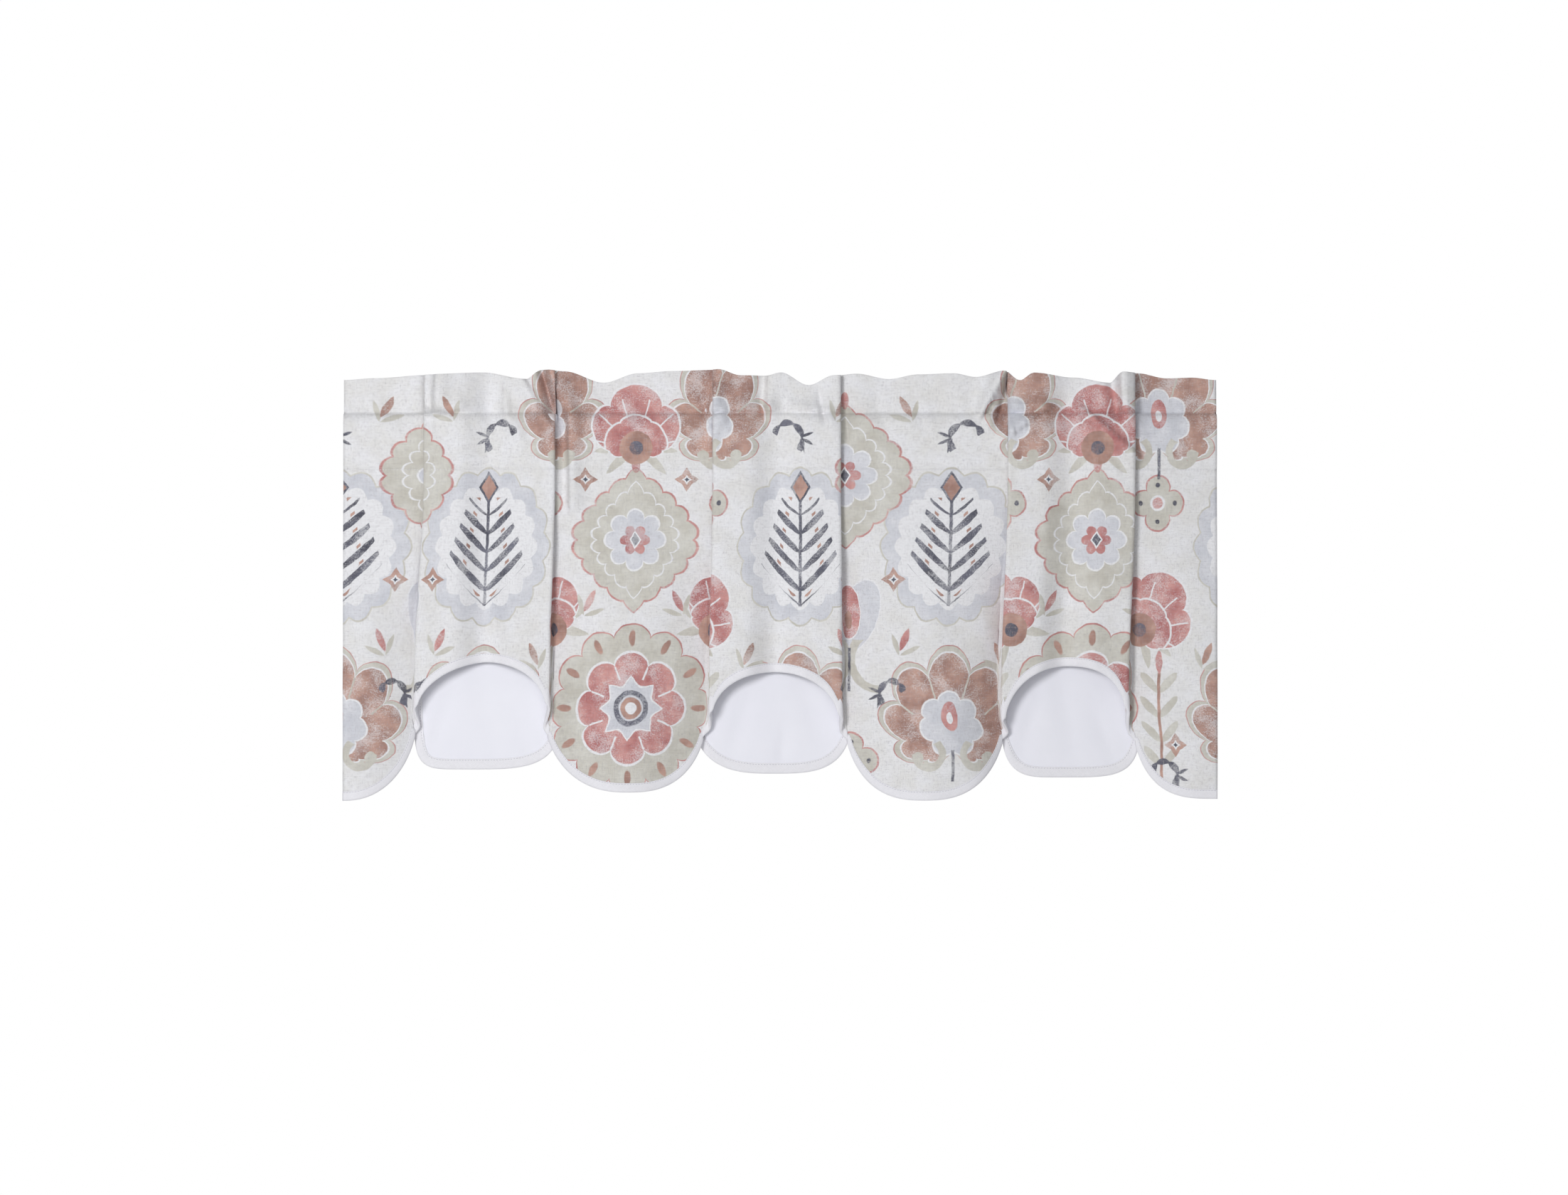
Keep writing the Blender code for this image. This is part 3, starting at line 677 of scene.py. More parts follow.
# The folded strip's outline, front face first: distance above the edge as a share of its width, and how
# far out it lies as a share of its thickness, from the cloth that it wraps.
BINDING_OUTLINE = (
    (0.97, 0.1), (1.0, 0.45), (0.985, 0.8), (0.93, 0.85), (0.87, 0.5), (0.8, 0.88), (0.6, 0.95),
    (0.35, 0.98), (0.12, 0.98),
)
FOOT_TURN = 5  # points round the folded foot of the strip
FOOT_OUT, FOOT_DROP = 0.95, 0.7  # how far out and how far down the folded foot bulges
LINING_LOW, LINING_SHORT = 0.1, 0.6  # height of the inner face's foot, and how much shorter it is
STRIP_OFF = 0.05  # the strip lies this far off the cloth
STEEPEST = 2.5  # the strip is narrowest where its edge is this steep or steeper
STRIP_PUCKER = ("wave", "slant", "bend", "height")
STRIP_PUCKERS = ((17.3, 0.7, 0.0, 0.06), (9.1, -0.5, 1.3, 0.04))  # small waves along the strip
BEND_WAVE = 31.0
STRIP_PUCKER_ROWS = rows(STRIP_PUCKER, STRIP_PUCKERS)
STITCH_IN = 0.86  # the binding's stitching lies here, as a share of its width


def edge_run(cloth, places):
    """Length along the scalloped edge up to each place."""
    heights = np.array([cloth.edge(u) for u in places])
    return np.concatenate(([0.0], np.cumsum(np.hypot(np.diff(places), np.diff(heights)))))


def strip_share(cloth, u):
    """How wide the strip is at one place, beside where its edge runs level."""
    slope = abs(cloth.edge(u + 1.0) - cloth.edge(u - 1.0)) / 2
    return blend(1.0, STEEP_SHARE, ease(slope / STEEPEST))


def strip_height(cloth, u, above):
    """Height at u of a line on the strip, above the scalloped edge, or below it where that is negative."""
    return offset_edge(cloth, u, above * strip_share(cloth, u) if above > 0 else above)


def binding_outline(width):
    """Closed outline as (distance above the edge, distance out, puckered) all the way round."""
    inner = CLOTH / 2 + STRIP_OFF
    front = [(above * width - GAP, inner + out * BINDING_CLOTH, 1.0) for above, out in BINDING_OUTLINE]
    reach = inner + FOOT_OUT * BINDING_CLOTH
    foot = []
    for k in range(1, FOOT_TURN):
        angle = math.pi * k / FOOT_TURN
        drop = GAP + FOOT_DROP * reach * math.sin(angle) - LINING_LOW
        foot.append((-drop, reach * math.cos(angle), 0.5))
    back = [(above, -out, puckered) for above, out, puckered in reversed(front)]
    top = width * BINDING_OUTLINE[0][0] - LINING_SHORT
    lining = [(above, out, 0.0) for above, out in
              ((top, -inner), (LINING_LOW, -inner), (LINING_LOW, inner), (top, inner))]
    return front + foot + back + lining


def binding(name, cloth, width):
    """A folded strip round the scalloped edge, with the cloth's edge inside it."""
    places = even_places(cloth, BINDING_STEP, 1.0)
    run = edge_run(cloth, places)
    outline = binding_outline(width)
    vertices, flat = [], []
    for u, s in zip(places, run):
        levels = {above: strip_height(cloth, u, above) for above, _, _ in outline}
        for above, out, puckered in outline:
            pucker = sum(p["height"] * math.sin(math.tau * (s + p["slant"] * above) / p["wave"]
                                                + p["bend"] * math.sin(s / BEND_WAVE))
                         for p in STRIP_PUCKER_ROWS)
            grown = out + math.copysign(pucker * puckered * min(1.0, max(0.0, above) / 3), out)
            vertices.append(placed(cloth, u, levels[above], grown))
            flat.append((s, above, math.copysign(1.0, out)))
    sides = len(outline)
    index = np.arange(len(places) * sides).reshape(len(places), sides)
    ring = np.concatenate((index, index[:, :1]), axis=1)
    quads = np.stack((ring[:-1, :-1], ring[:-1, 1:], ring[1:, 1:], ring[1:, :-1]), axis=-1).reshape(-1, 4)
    ends = end_faces(len(BINDING_OUTLINE), sides)
    shift = (len(places) - 1) * sides
    faces = [*quads, *ends, *([v + shift for v in reversed(face)] for face in ends)]
    return add_mesh(name, vertices, faces, flat)


def end_faces(half, sides):
    """The strip's cut end, as strips between its outline and its inner face."""
    back_inner, back_floor, front_floor, front_inner = range(sides - 4, sides)
    front = list(range(half))
    foot = list(range(half, sides - half - 4))
    back = list(range(sides - half - 4, sides - 4))
    faces = [tuple(reversed(front + [front_floor, front_inner]))]
    faces.append(tuple(reversed([front[-1]] + foot + [back[0], back_floor, front_floor])))
    faces.append(tuple(reversed(back + [back_inner, back_floor])))
    return faces


STITCH = {"pitch": 2.9, "long": 2.1, "wide": 0.6, "high": 0.4, "sunk": 0.15, "shoulder": 0.3}
STITCH_SIDES = 5
STITCH_OFF, STITCH_OUT = 0.1, 0.6  # how far out the thread lies: off a panel, and as a share of the strip
TRACK_STEP = 0.5  # spacing at which a row of stitches is followed
NEXT_TO = 0.8  # a stitch takes its direction from the row this far to both sides


def stitch_mesh(places, directions, outs):
    """Short rounded threads: a pointed prism at each place, lying along its direction."""
    vertices, faces = [], []
    for at, along, out in zip(places, directions, outs):
        side = np.cross(along, out)
        start = len(vertices)
        tip = along * STITCH["long"] / 2
        vertices.append(at - tip - out * STITCH["sunk"])
        for share in (-STITCH["shoulder"], STITCH["shoulder"]):
            for k in range(STITCH_SIDES):
                angle = math.tau * k / STITCH_SIDES
                spread = side * (math.cos(angle) * STITCH["wide"] / 2)
                spread += out * (math.sin(angle) * STITCH["high"] / 2)
                vertices.append(at + along * STITCH["long"] * share + spread)
        vertices.append(at + tip - out * STITCH["sunk"])
        tail = start + 1 + 2 * STITCH_SIDES
        for k in range(STITCH_SIDES):
            a, b = start + 1 + k, start + 1 + (k + 1) % STITCH_SIDES
            faces += [(start, a, b), (a, a + STITCH_SIDES, b + STITCH_SIDES, b)]
            faces.append((a + STITCH_SIDES, tail, b + STITCH_SIDES))
    return vertices, faces


def stitching(name, cloth, lines):
    """Rows of stitches. Each line is (height at u, distance out of the cloth, first u, last u)."""
    places, directions, outs = [], [], []
    for height, lift, start, end in lines:
        us = np.linspace(start, end, int((end - start) / TRACK_STEP) + 2)
        zs = np.array([height(u) for u in us])
        track = np.array([placed(cloth, u, z, lift) for u, z in zip(us, zs)])
        run = np.concatenate(([0.0], np.cumsum(np.linalg.norm(np.diff(track, axis=0), axis=1))))
        for stop in np.arange(STITCH["pitch"] / 2, run[-1], STITCH["pitch"]):
            before, at, after = [np.array([np.interp(place, run, line) for line in track.T])
                                 for place in (stop - NEXT_TO, stop, stop + NEXT_TO)]
            along = (after - before) / np.linalg.norm(after - before)
            u = np.interp((stop - NEXT_TO, stop + NEXT_TO), run, us).mean()
            out = np.array((*across_cloth(cloth, u, at[2]), 0.0))
            out -= along * float(np.dot(out, along))
            out /= np.linalg.norm(out)
            places.append(at)
            directions.append(along)
            outs.append(out)
    vertices, faces = stitch_mesh(places, directions, outs)
    return add_mesh(name, vertices, faces)


def row_lines(row, lift):
    """A row of stitches along the sections of the face panel that show."""
    return [(lambda u: row, lift, start + 1.0, end - 1.0) for start, end in FLAT_ENDS]


def binding_line(cloth, width, lift):
    """The row of stitches along a strip. On the face it shows on the sections and not in the folds."""
    def height(u):
        return strip_height(cloth, u, STITCH_IN * width - GAP)

    spans = FLAT_ENDS if cloth is FACE else [(cloth.low, cloth.high)]
    return [(height, lift, start + 0.5, end - 0.5) for start, end in spans]


# --- finishes ----------------------------------------------------------------------------------------


def as_node(kind, swapped=False):
    """An operator that adds a Math node of a kind to the finish; swapped puts its own number last."""
    def combine(self, *others):
        return self.finish.math(kind, *((*others, self) if swapped else (self, *others)))
    return combine


class Value:
    """One number that varies over a piece. Python's operators on it add Math nodes to its finish."""

    def __init__(self, finish, socket):
        self.finish, self.socket = finish, socket

    __add__ = __radd__ = as_node("ADD")
    __sub__, __rsub__ = as_node("SUBTRACT"), as_node("SUBTRACT", swapped=True)
    __mul__ = __rmul__ = as_node("MULTIPLY")
    __truediv__, __pow__, __abs__ = as_node("DIVIDE"), as_node("POWER"), as_node("ABSOLUTE")
    __gt__, __lt__ = as_node("GREATER_THAN"), as_node("LESS_THAN")
    least, most = as_node("MINIMUM"), as_node("MAXIMUM")
    root, sine, cosine = as_node("SQRT"), as_node("SINE"), as_node("COSINE")
    repeat = as_node("FLOORED_MODULO")  # runs from 0 to a length over and over


class Finish:
    """One material and the nodes that are added to it."""

    def __init__(self, name, roughness, sheen, sheen_roughness=0.5):
        self.material = bpy.data.materials.new(name)
        self.material.use_nodes = True
        self.shader = self.material.node_tree.nodes["Principled BSDF"]
        self.shader.inputs["Roughness"].default_value = roughness
        self.shader.inputs["Sheen Weight"].default_value = sheen
        self.shader.inputs["Sheen Roughness"].default_value = sheen_roughness
        self.shader.inputs["Specular IOR Level"].default_value = 0.25

    def node(self, kind, settings=None, inputs=None):
        node = self.material.node_tree.nodes.new(kind)
        for name, value in (settings or {}).items():
            setattr(node, name, value)
        for name, value in (inputs or {}).items():
            self.feed(node.inputs[name], value)
        return node

    def feed(self, socket, value):
        source = value.socket if isinstance(value, Value) else value
        if isinstance(source, bpy.types.NodeSocket):
            self.material.node_tree.links.new(source, socket)
        else:
            socket.default_value = source

    def math(self, operation, *values):
        node = self.node("ShaderNodeMath", {"operation": operation}, dict(enumerate(values)))
        return Value(self, node.outputs[0])

    def attribute(self, name):
        """The three numbers of a mesh attribute."""
        source = self.node("ShaderNodeAttribute", {"attribute_name": name}).outputs["Vector"]
        split = self.node("ShaderNodeSeparateXYZ", None, {0: source})
        return [Value(self, socket) for socket in split.outputs]

    def vector(self, x, y, z=0.0):
        return self.node("ShaderNodeCombineXYZ", None, {0: x, 1: y, 2: z}).outputs[0]

    def noise(self, place, size, detail=2.0, roughness=0.5):
        """Cloudy values from 0 to 1; a cloud is about size across."""
        inputs = {"Vector": place, "Scale": 1.0 / size, "Detail": detail, "Roughness": roughness}
        return Value(self, self.node("ShaderNodeTexNoise", None, inputs).outputs[0])

    def between(self, value, low, high, at_low=0.0, at_high=1.0):
        inputs = {0: value, 1: low, 2: high, 3: at_low, 4: at_high}
        return Value(self, self.node("ShaderNodeMapRange", None, inputs).outputs[0])

    def mix(self, amount, first, second):
        """A colour between two others."""
        inputs = {0: amount}
        for index, colour in ((6, first), (7, second)):
            inputs[index] = (*colour, 1.0) if isinstance(colour, tuple) else colour
        node = self.node("ShaderNodeMix", {"data_type": "RGBA"}, inputs)
        return node.outputs[2]

    def bump(self, height, depth):
        """Relief from a height of 0 to 1, which is depth high in millimetres."""
        inputs = {"Height": height, "Distance": depth * METRES, "Strength": 1.0}
        self.feed(self.shader.inputs["Normal"], self.node("ShaderNodeBump", None, inputs).outputs[0])


def light_of(red, green, blue):
    """A colour given as it is seen, from 0 to 255, as amounts of light. None here is near black."""
    return tuple(((seen / 255 + 0.055) / 1.055) ** 2.4 for seen in (red, green, blue))


GROUND, GROUND_WARM = light_of(239, 239, 242), light_of(232, 231, 230)
BEIGE_LIGHT, BEIGE_DARK = light_of(217, 215, 207), light_of(200, 196, 185)
CORAL_LIGHT, CORAL_DARK = light_of(214, 154, 148), light_of(180, 102, 100)
TAN_LIGHT, TAN_DARK = light_of(200, 158, 142), light_of(158, 116, 102)
BLUE_LIGHT, BLUE_DARK = light_of(224, 225, 231), light_of(209, 211, 219)
CHARCOAL_LIGHT, CHARCOAL_DARK = light_of(98, 100, 117), light_of(48, 50, 68)
WHITE = light_of(240, 240, 243)
HEATHER = light_of(163, 159, 164)
SATIN, SATIN_SHADE = light_of(243, 243, 250), light_of(238, 238, 247)
BIAS, BIAS_SHADE = light_of(243, 242, 247), light_of(232, 231, 236)
# The second thread colour is grey. On the binding stitches it is painted shade, standing for the shade of
# the needle holes and of the gaps round white thread; on the white thread it is a random greyer tone in
# clouds
THREAD, THREAD_TONE_AND_PAINTED_SHADE = light_of(250, 249, 250), light_of(196, 194, 205)

HALF_REPEAT = 315.0  # the printed design is mirrored about lines this far apart
MIRROR_LINE = 412.0  # the flat place of one of them
SOFT = 0.9  # blur of the print's edges
WANDER, WANDER_SIZE = 2.4, 9.0  # drawn lines stray this far from their shapes, in waves of this size
WASH_SIZE, WORN_SIZE, GRAIN_SIZE = 26.0, 21.0, 0.8
WORN_LEAST = 0.5  # how much ink is left where the print is most worn


class Print:
    """The printed design: colours laid one after another over the ground.

    x runs from one mirror line to the next and y is the height below the top edge. Each motif measures
    from a middle of its own, and a distance is negative inside a shape, all in millimetres.
    """

    def __init__(self, finish, u, v, side):
        self.finish = finish
        place = finish.vector(u, v, side)
        spread = finish.noise(place, WANDER_SIZE, 3.0) - 0.5
        self.x = finish.math("PINGPONG", u + spread * WANDER - MIRROR_LINE, HALF_REPEAT)
        self.y = v + (finish.noise(finish.vector(v, u, 7.0), WANDER_SIZE, 3.0) - 0.5) * WANDER
        wash = finish.between(finish.noise(place, WASH_SIZE, 3.0, 0.6), 0.36, 0.64)
        grain = finish.noise(finish.vector(u * 0.4, v, side), GRAIN_SIZE, 1.0)
        grain = grain.most(finish.noise(finish.vector(u, v * 0.4, side + 3.0), GRAIN_SIZE, 1.0))
        patch = finish.noise(place, WORN_SIZE, 2.0)
        self.worn = finish.between(grain + patch * 0.9, 1.16, 0.98, WORN_LEAST, 1.0)
        self.beige = finish.mix(wash, BEIGE_DARK, BEIGE_LIGHT)
        self.coral = finish.mix(wash, CORAL_DARK, CORAL_LIGHT)
        self.tan = finish.mix(wash, TAN_LIGHT, TAN_DARK)
        self.blue = finish.mix(wash, BLUE_LIGHT, BLUE_DARK)
        self.charcoal = finish.mix(wash, CHARCOAL_DARK, CHARCOAL_LIGHT)
        self.colour = finish.mix(wash, GROUND, GROUND_WARM)

    def inside(self, distance, soft=SOFT):
        """1 where the distance to an outline is negative, and 0 outside."""
        return self.finish.between(distance, soft / 2, -soft / 2)

    def lay(self, distance, colour, worn=False):
        mask = self.inside(distance)
        if worn:
            mask = mask * self.worn
        self.colour = self.finish.mix(mask, self.colour, colour)

    def rimmed(self, distance, width, rim, colour, worn=False):
        """A shape with a rim round it, width wide."""
        self.lay(distance - width, rim)
        self.lay(distance, colour, worn)

    def oval(self, x, y, squeeze, size):
        """Distance to an upright oval, size high and narrower by the root of squeeze."""
        return (x * x * squeeze + y * y).root() - size

    def from_middle(self, x, y):
        """Radius and angle of a place, the angle from straight up."""
        return (x * x + y * y).root(), self.finish.math("ARCTAN2", x, y)

    def petals(self, angle, count, power=1.0):
        """0 between petals and 1 at the middle of each of them."""
        wave = abs((angle * (count / 2)).cosine())
        return wave if power == 1.0 else wave**power

    def either(self, split, first, second):
        """first where split is 0 and second where it is 1, both plain numbers."""
        if first == second:
            return first
        return self.finish.math("MULTIPLY_ADD", split, second - first, first)

    def leaf(self, x, y, angle, length, width):
        """Distance to a pointed leaf that starts at the place's origin and runs at an angle from up."""
        c, s = math.cos(angle), math.sin(angle)
        along = (x * s + y * c) / length
        aside = abs(x * c - y * s)
        bulge = self.finish.math("MULTIPLY", along, 1 - along).most(0.0) ** 0.7
        return aside - bulge * (width * 1.32) + SOFT

    def spray(self):
        """An upright spray of paired leaves, low between the two largest motifs."""
        x, y = abs(self.x - 107.0), self.y + 345.0
        pair = (y - x * 0.9 + 60.0).repeat(25.0) - 12.5
        swell = (x * (1 / 19.0)).least(1.0)
        thick = (swell * (1.04 - swell)).most(0.0).root() * 11.0
        leaves = (abs(pair) - thick).most(x - 19.0).most(abs(y) - 46.0)
        self.lay(leaves, self.beige)
        self.lay((x - 1.5).most(abs(y + 10.0) - 56.0), self.tan)
        self.lay(self.leaf(x, y - 44.0, 0.0, 26.0, 9.0), self.coral, worn=True)

    def rosette(self):
        """A large rosette in a wreath, with a star and an eye."""
        x, y = self.x, self.y + 335.0
        r, angle = self.from_middle(x, y)
        self.rimmed(r - 72.4 - self.petals(angle, 12, 0.6) * 12.0, 1.6, self.coral, self.beige)
        across = (angle * 6.0).sine() * r * (1 / 6)
        drop = ((r - 71.0) * (r - 71.0) * 0.18 + across * across).root() - 3.4
        self.lay(drop, self.tan)
        self.rimmed(r - 44.0 - self.petals(angle, 8, 0.55) * 12.0, 2.5, WHITE, self.coral, worn=True)
        vein = abs((angle * 4.0).cosine()) * r * 0.25 - 0.9
        self.lay(vein.most(abs(r - 38.0) - 7.0), WHITE)
        star = r - 22.5 - (1 - abs((angle * 4.0).sine())) * 9.0
        self.rimmed(star, 2.0, WHITE, self.blue)
        self.lay(abs(r - 15.5) - 2.6, self.charcoal, worn=True)
        self.lay(r - 11.0, self.tan)
        self.lay(r - 6.0, WHITE)

    def palmette(self):
        """A fan of rounded blades round a pale flower, over two curled sepals."""
        high = self.y > -180.0
        x = abs(self.x - self.either(high, 210.0, 105.0))
        y = self.y - self.either(high, -335.0, -30.0)
        r, angle = self.from_middle(x, y + 36.0)
        blades = self.petals(angle, 10.4, 0.7)
        narrow = (angle * 0.55).cosine()
        fan = r - (blades * 0.24 + 0.76) * narrow * 92.0
        self.rimmed(fan - 7.0, 1.0, self.coral, self.beige)
        self.rimmed(fan, 1.8, WHITE, self.tan, worn=True)
        seam = abs((angle * 5.2).cosine()) * r * 0.19 - 0.8
        self.lay(seam.most(abs(r - 66.0) - 18.0).most(fan), self.beige)
        r_heart, turn = self.from_middle(x, y + 16.0)
        self.rimmed(r_heart - self.petals(turn, 7, 0.7) * 7.0 - 25.0, 2.0, WHITE, self.blue)
        self.lay(self.oval(x, y + 8.0, 3.2, 15.0), self.coral, worn=True)
        self.lay(self.oval(x, y + 10.0, 3.2, 6.0), WHITE)
        r_curl, _ = self.from_middle(x - 25.0, y + 46.0)
        curl = (abs(r_curl - 14.0) - 3.6).most(y + x * 0.5 + 26.0)
        self.lay(curl, self.beige)
        self.lay(self.from_middle(x - 36.0, y + 50.0)[0] - 6.0, self.beige)
        self.lay((x - 1.6).most(abs(y + 58.0) - 16.0), self.charcoal, worn=True)

    def medallion(self):
        """A pointed medallion with a scalloped rim and a six-petalled flower."""
        right = self.x > 157.0
        x = self.x - self.either(right, 0.0, 315.0)
        y = self.y - self.either(right, -165.0, -100.0)
        r, angle = self.from_middle(x, y)
        tall = abs(y * (1 / 68.0)) ** 1.7
        shape = (abs(x) * (1 / 58.0) + tall - 1.0) * 40.0 - self.petals(angle, 18, 0.7) * 4.6
        self.lay(shape - 2.0, self.coral, worn=True)
        self.lay(shape, self.beige)
        self.lay(abs(shape + 13.0) - 0.7, WHITE)
        self.rimmed(r - 21.0 - self.petals(angle, 8, 0.6) * 9.0, 2.0, WHITE, self.blue)
        self.lay(r - 9.5 - self.petals(angle + 0.5, 6, 0.7) * 6.0, self.coral, worn=True)
        eye = (abs(x) * 1.5 + abs(y)) * 0.8 - 5.4
        self.rimmed(eye, 2.1, WHITE, self.charcoal, worn=True)
        bud = (x * x * 2.6 + (y - 76.0) * (y - 76.0) * 0.6).root() - 6.5
        self.lay(bud, self.coral, worn=True)

    def quatrefoil(self):
        low = self.y < -260.0
        x = self.x - self.either(low, 104.0, 315.0)
        y = self.y - self.either(low, -128.0, -388.0)
        r, angle = self.from_middle(x, y)
        four = r - 16.0 - self.petals(angle, 4, 0.7) * 11.0
        self.lay(four - 2.0, self.coral, worn=True)
        self.lay(four, self.beige)
        self.lay(r - 8.0, WHITE)
        self.lay(r - 5.6, self.coral, worn=True)
        self.lay(self.oval((angle * 2.0).sine(), r - 18.5, 70.0, 2.3), self.charcoal, worn=True)

    def sprig(self):
        """An upright sprig of paired leaves before a pale scalloped cloud."""
        x, y = abs(self.x - 212.0), self.y + 172.0
        r, angle = self.from_middle(x, y * 0.86)
        cloud = r - 62.0 - self.petals(angle, 16) * 6.0
        self.rimmed(cloud, 1.6, self.beige, self.blue)
        self.lay(cloud + 13.0, GROUND)
        rise = y - x * 0.75 - x * x * 0.006
        pair = (rise + 72.0).repeat(19.0) - 9.5
        reach = (y + 64.0).least(40.0 - y * 0.36) * 0.92
        swell = (x / reach.most(4.0) * 0.94).least(1.0)
        thick = (swell * (1.06 - swell)).most(0.0).root() * 8.4
        leaves = (abs(pair) - thick).most(x - reach).most(abs(rise + 14.0) - 46.0)
        self.lay(leaves, self.charcoal, worn=True)
        self.lay((x - 1.6).most(abs(y + 4.0) - 56.0), self.charcoal, worn=True)
        berry = (abs(pair - 8.0) * 1.2).most(abs(x - reach * 0.55)) - 2.2
        self.lay(berry.most(abs(y) - 50.0), self.tan)
        bud = x * 1.55 + abs(y - 60.0)
        self.lay(bud - 17.0, self.charcoal, worn=True)
        self.lay(bud - 13.0, self.tan)

    def carnation(self):
        """A serrated fan flower with a calyx and a short stem."""
        high = self.y > -140.0
        cos, sin = self.either(high, math.cos(0.6), 1.0), self.either(high, math.sin(0.6), 0.0)
        x0 = self.x - self.either(high, 100.0, 0.0)
        y0 = self.y - self.either(high, -236.0, -48.0)
        x = x0 * cos - y0 * sin
        y = x0 * sin + y0 * cos
        r, angle = self.from_middle(x, y + 24.0)
        teeth = self.petals(angle, 5.6, 0.5)
        fan = r - (teeth * 0.2 + 0.8) * (angle * 0.62).cosine() * 64.0
        for lean in (1.75, 2.35):
            for turned in (lean, -lean):
                self.lay(self.leaf(x, y + 20.0, turned, 44.0, 11.0), self.beige)
        self.rimmed(fan, 2.2, WHITE, self.coral, worn=True)
        vein = abs((angle * 5.6).cosine()) * r * 0.17 - 0.7
        self.lay(vein.most(abs(r - 42.0) - 9.0).most(fan), WHITE)
        self.lay((abs(r - 30.0 - teeth * 3.0) - 1.0).most(fan), WHITE)
        self.lay(r - 17.0, self.tan)
        self.lay(r - 7.0, self.charcoal, worn=True)

    def tulip(self):
        """A cupped flower with two leaves, on the mirror line."""
        x, y = self.x * -1 + HALF_REPEAT, self.y + 242.0
        self.rimmed(self.oval(x - y * 0.28 - 10.0, y, 3.0, 36.0), 1.8, WHITE, self.blue)
        self.rimmed(self.oval(x, y - 4.0, 5.0, 27.0), 1.8, WHITE, self.coral, worn=True)
        self.lay(self.oval(x, y + 4.0, 6.0, 9.0), self.tan)
        r, _ = self.from_middle(x - 32.0, y + 44.0)
        blade = (abs(r - 30.0) - 4.2).most(y + 24.0).most(x - 34.0)
        self.lay(blade, self.beige)
        self.lay((x - 1.5).most(abs(y + 54.0) - 22.0), self.charcoal, worn=True)

    def buds(self):
        """Small teardrop buds between the large motifs."""
        for cx, cy, turn, colour in ((52.0, -238.0, -0.5, self.coral), (152.0, -292.0, 0.4, self.tan),
                                     (262.0, -278.0, -0.4, self.coral), (250.0, -42.0, 0.5, self.tan)):
            x, y = self.x - cx, self.y - cy
            self.lay(self.leaf(x, y + 4.0, turn - 0.75, 24.0, 7.0), self.beige)
            self.lay(self.leaf(x, y + 4.0, turn + 0.75, 24.0, 7.0), self.beige)
            self.lay(self.leaf(x, y, turn, 26.0, 9.0), colour, worn=True)

    def crosses(self):
        for cx, cy in ((52.0, -104.0), (268.0, -205.0), (122.0, -372.0)):
            x, y = abs(self.x - cx), abs(self.y - cy)
            arms = x.least(y) * 1.6 + x.most(y)
            self.lay(arms - 12.5, self.tan, worn=True)
            self.lay(arms - 5.2, WHITE)
            self.lay(arms - 2.6, self.charcoal)

    def scrolls(self):
        for cx, cy, size in ((196.0, -62.0, 15.0), (108.0, -402.0, 13.0), (268.0, -320.0, 12.0)):
            x, y = self.x - cx, self.y - cy
            r, angle = self.from_middle(x, y)
            coil = abs(r - size - angle * 1.8) - abs((angle * 3.0).cosine()) * 2.6 - 1.0
            self.lay(coil.most(-4.0 - x * 0.6 - y), self.charcoal, worn=True)
            for turned in (1.2, 2.0, 2.8):
                self.lay(self.leaf(x - size, y, turned, 17.0, 5.0), self.charcoal, worn=True)


YARN, SLUB_SHARE = 1.2, 0.12  # width of an uneven yarn, and its width beside its length
THREAD_PITCH = 1.5
LINEN_DEPTH, SATIN_DEPTH, BIAS_DEPTH = 0.3, 0.08, 0.12  # relief of the weaves
FLECKED, PALE_YARN_AND_HIGHLIGHT, DARK_YARN_AND_SHADE = 0.36, 0.17, 0.18  # how strongly flecks and threads show; the threads' pale and dark are yarn tone and also painted highlight and painted shade of the weave
REVERSE_PALE = 0.62  # how much of the print is lost on the back of the cloth


def linen_weave(finish, u, v, side):
    """Height of the threads: slubby yarn both ways over a fine plain weave, from 0 to 1."""
    weft = finish.noise(finish.vector(u * SLUB_SHARE, v, side), YARN, 2.0)
    warp = finish.noise(finish.vector(u, v * SLUB_SHARE, side + 5.0), YARN, 2.0)
    over = (u * (math.tau / THREAD_PITCH)).sine() * (v * (math.tau / THREAD_PITCH)).sine()
    return weft * 0.45 + warp * 0.4 + over * 0.1


def printed_linen():
    finish = Finish("printed_linen", 0.88, 0.12)
    u, v, side = finish.attribute("flat")
    weave = linen_weave(finish, u, v, side)
    flecks = finish.noise(finish.vector(u * 0.4, v, 3.0), 1.5, 2.0, 0.6)
    flecks = flecks.most(finish.noise(finish.vector(u, v * 0.4, 9.0), 1.5, 2.0, 0.6))
    flecks = finish.between(flecks, 0.56, 0.72)
    design = Print(finish, u, v, side)
    for motif in (design.spray, design.sprig, design.quatrefoil, design.medallion, design.palmette,
                  design.rosette, design.carnation, design.tulip, design.buds, design.crosses,
                  design.scrolls):
        motif()
    colour = finish.mix(flecks * FLECKED, design.colour, HEATHER)
    # The weave's raised threads are painted paler and its low places darker, from the same height as its
    # bump: the yarn's own tone together with painted highlight on the tops and painted shade in the hollows
    thread = finish.between(weave, 0.36, 0.6)
    colour = finish.mix(thread * PALE_YARN_AND_HIGHLIGHT, colour, WHITE)
    colour = finish.mix(finish.between(weave, 0.46, 0.3) * DARK_YARN_AND_SHADE, colour, HEATHER)
    reverse = finish.between(side, 0.5, -0.5, 0.0, REVERSE_PALE)
    colour = finish.mix(reverse, colour, GROUND)
    finish.feed(finish.shader.inputs["Base Color"], colour)
    finish.bump(weave, LINEN_DEPTH)
    return finish.material


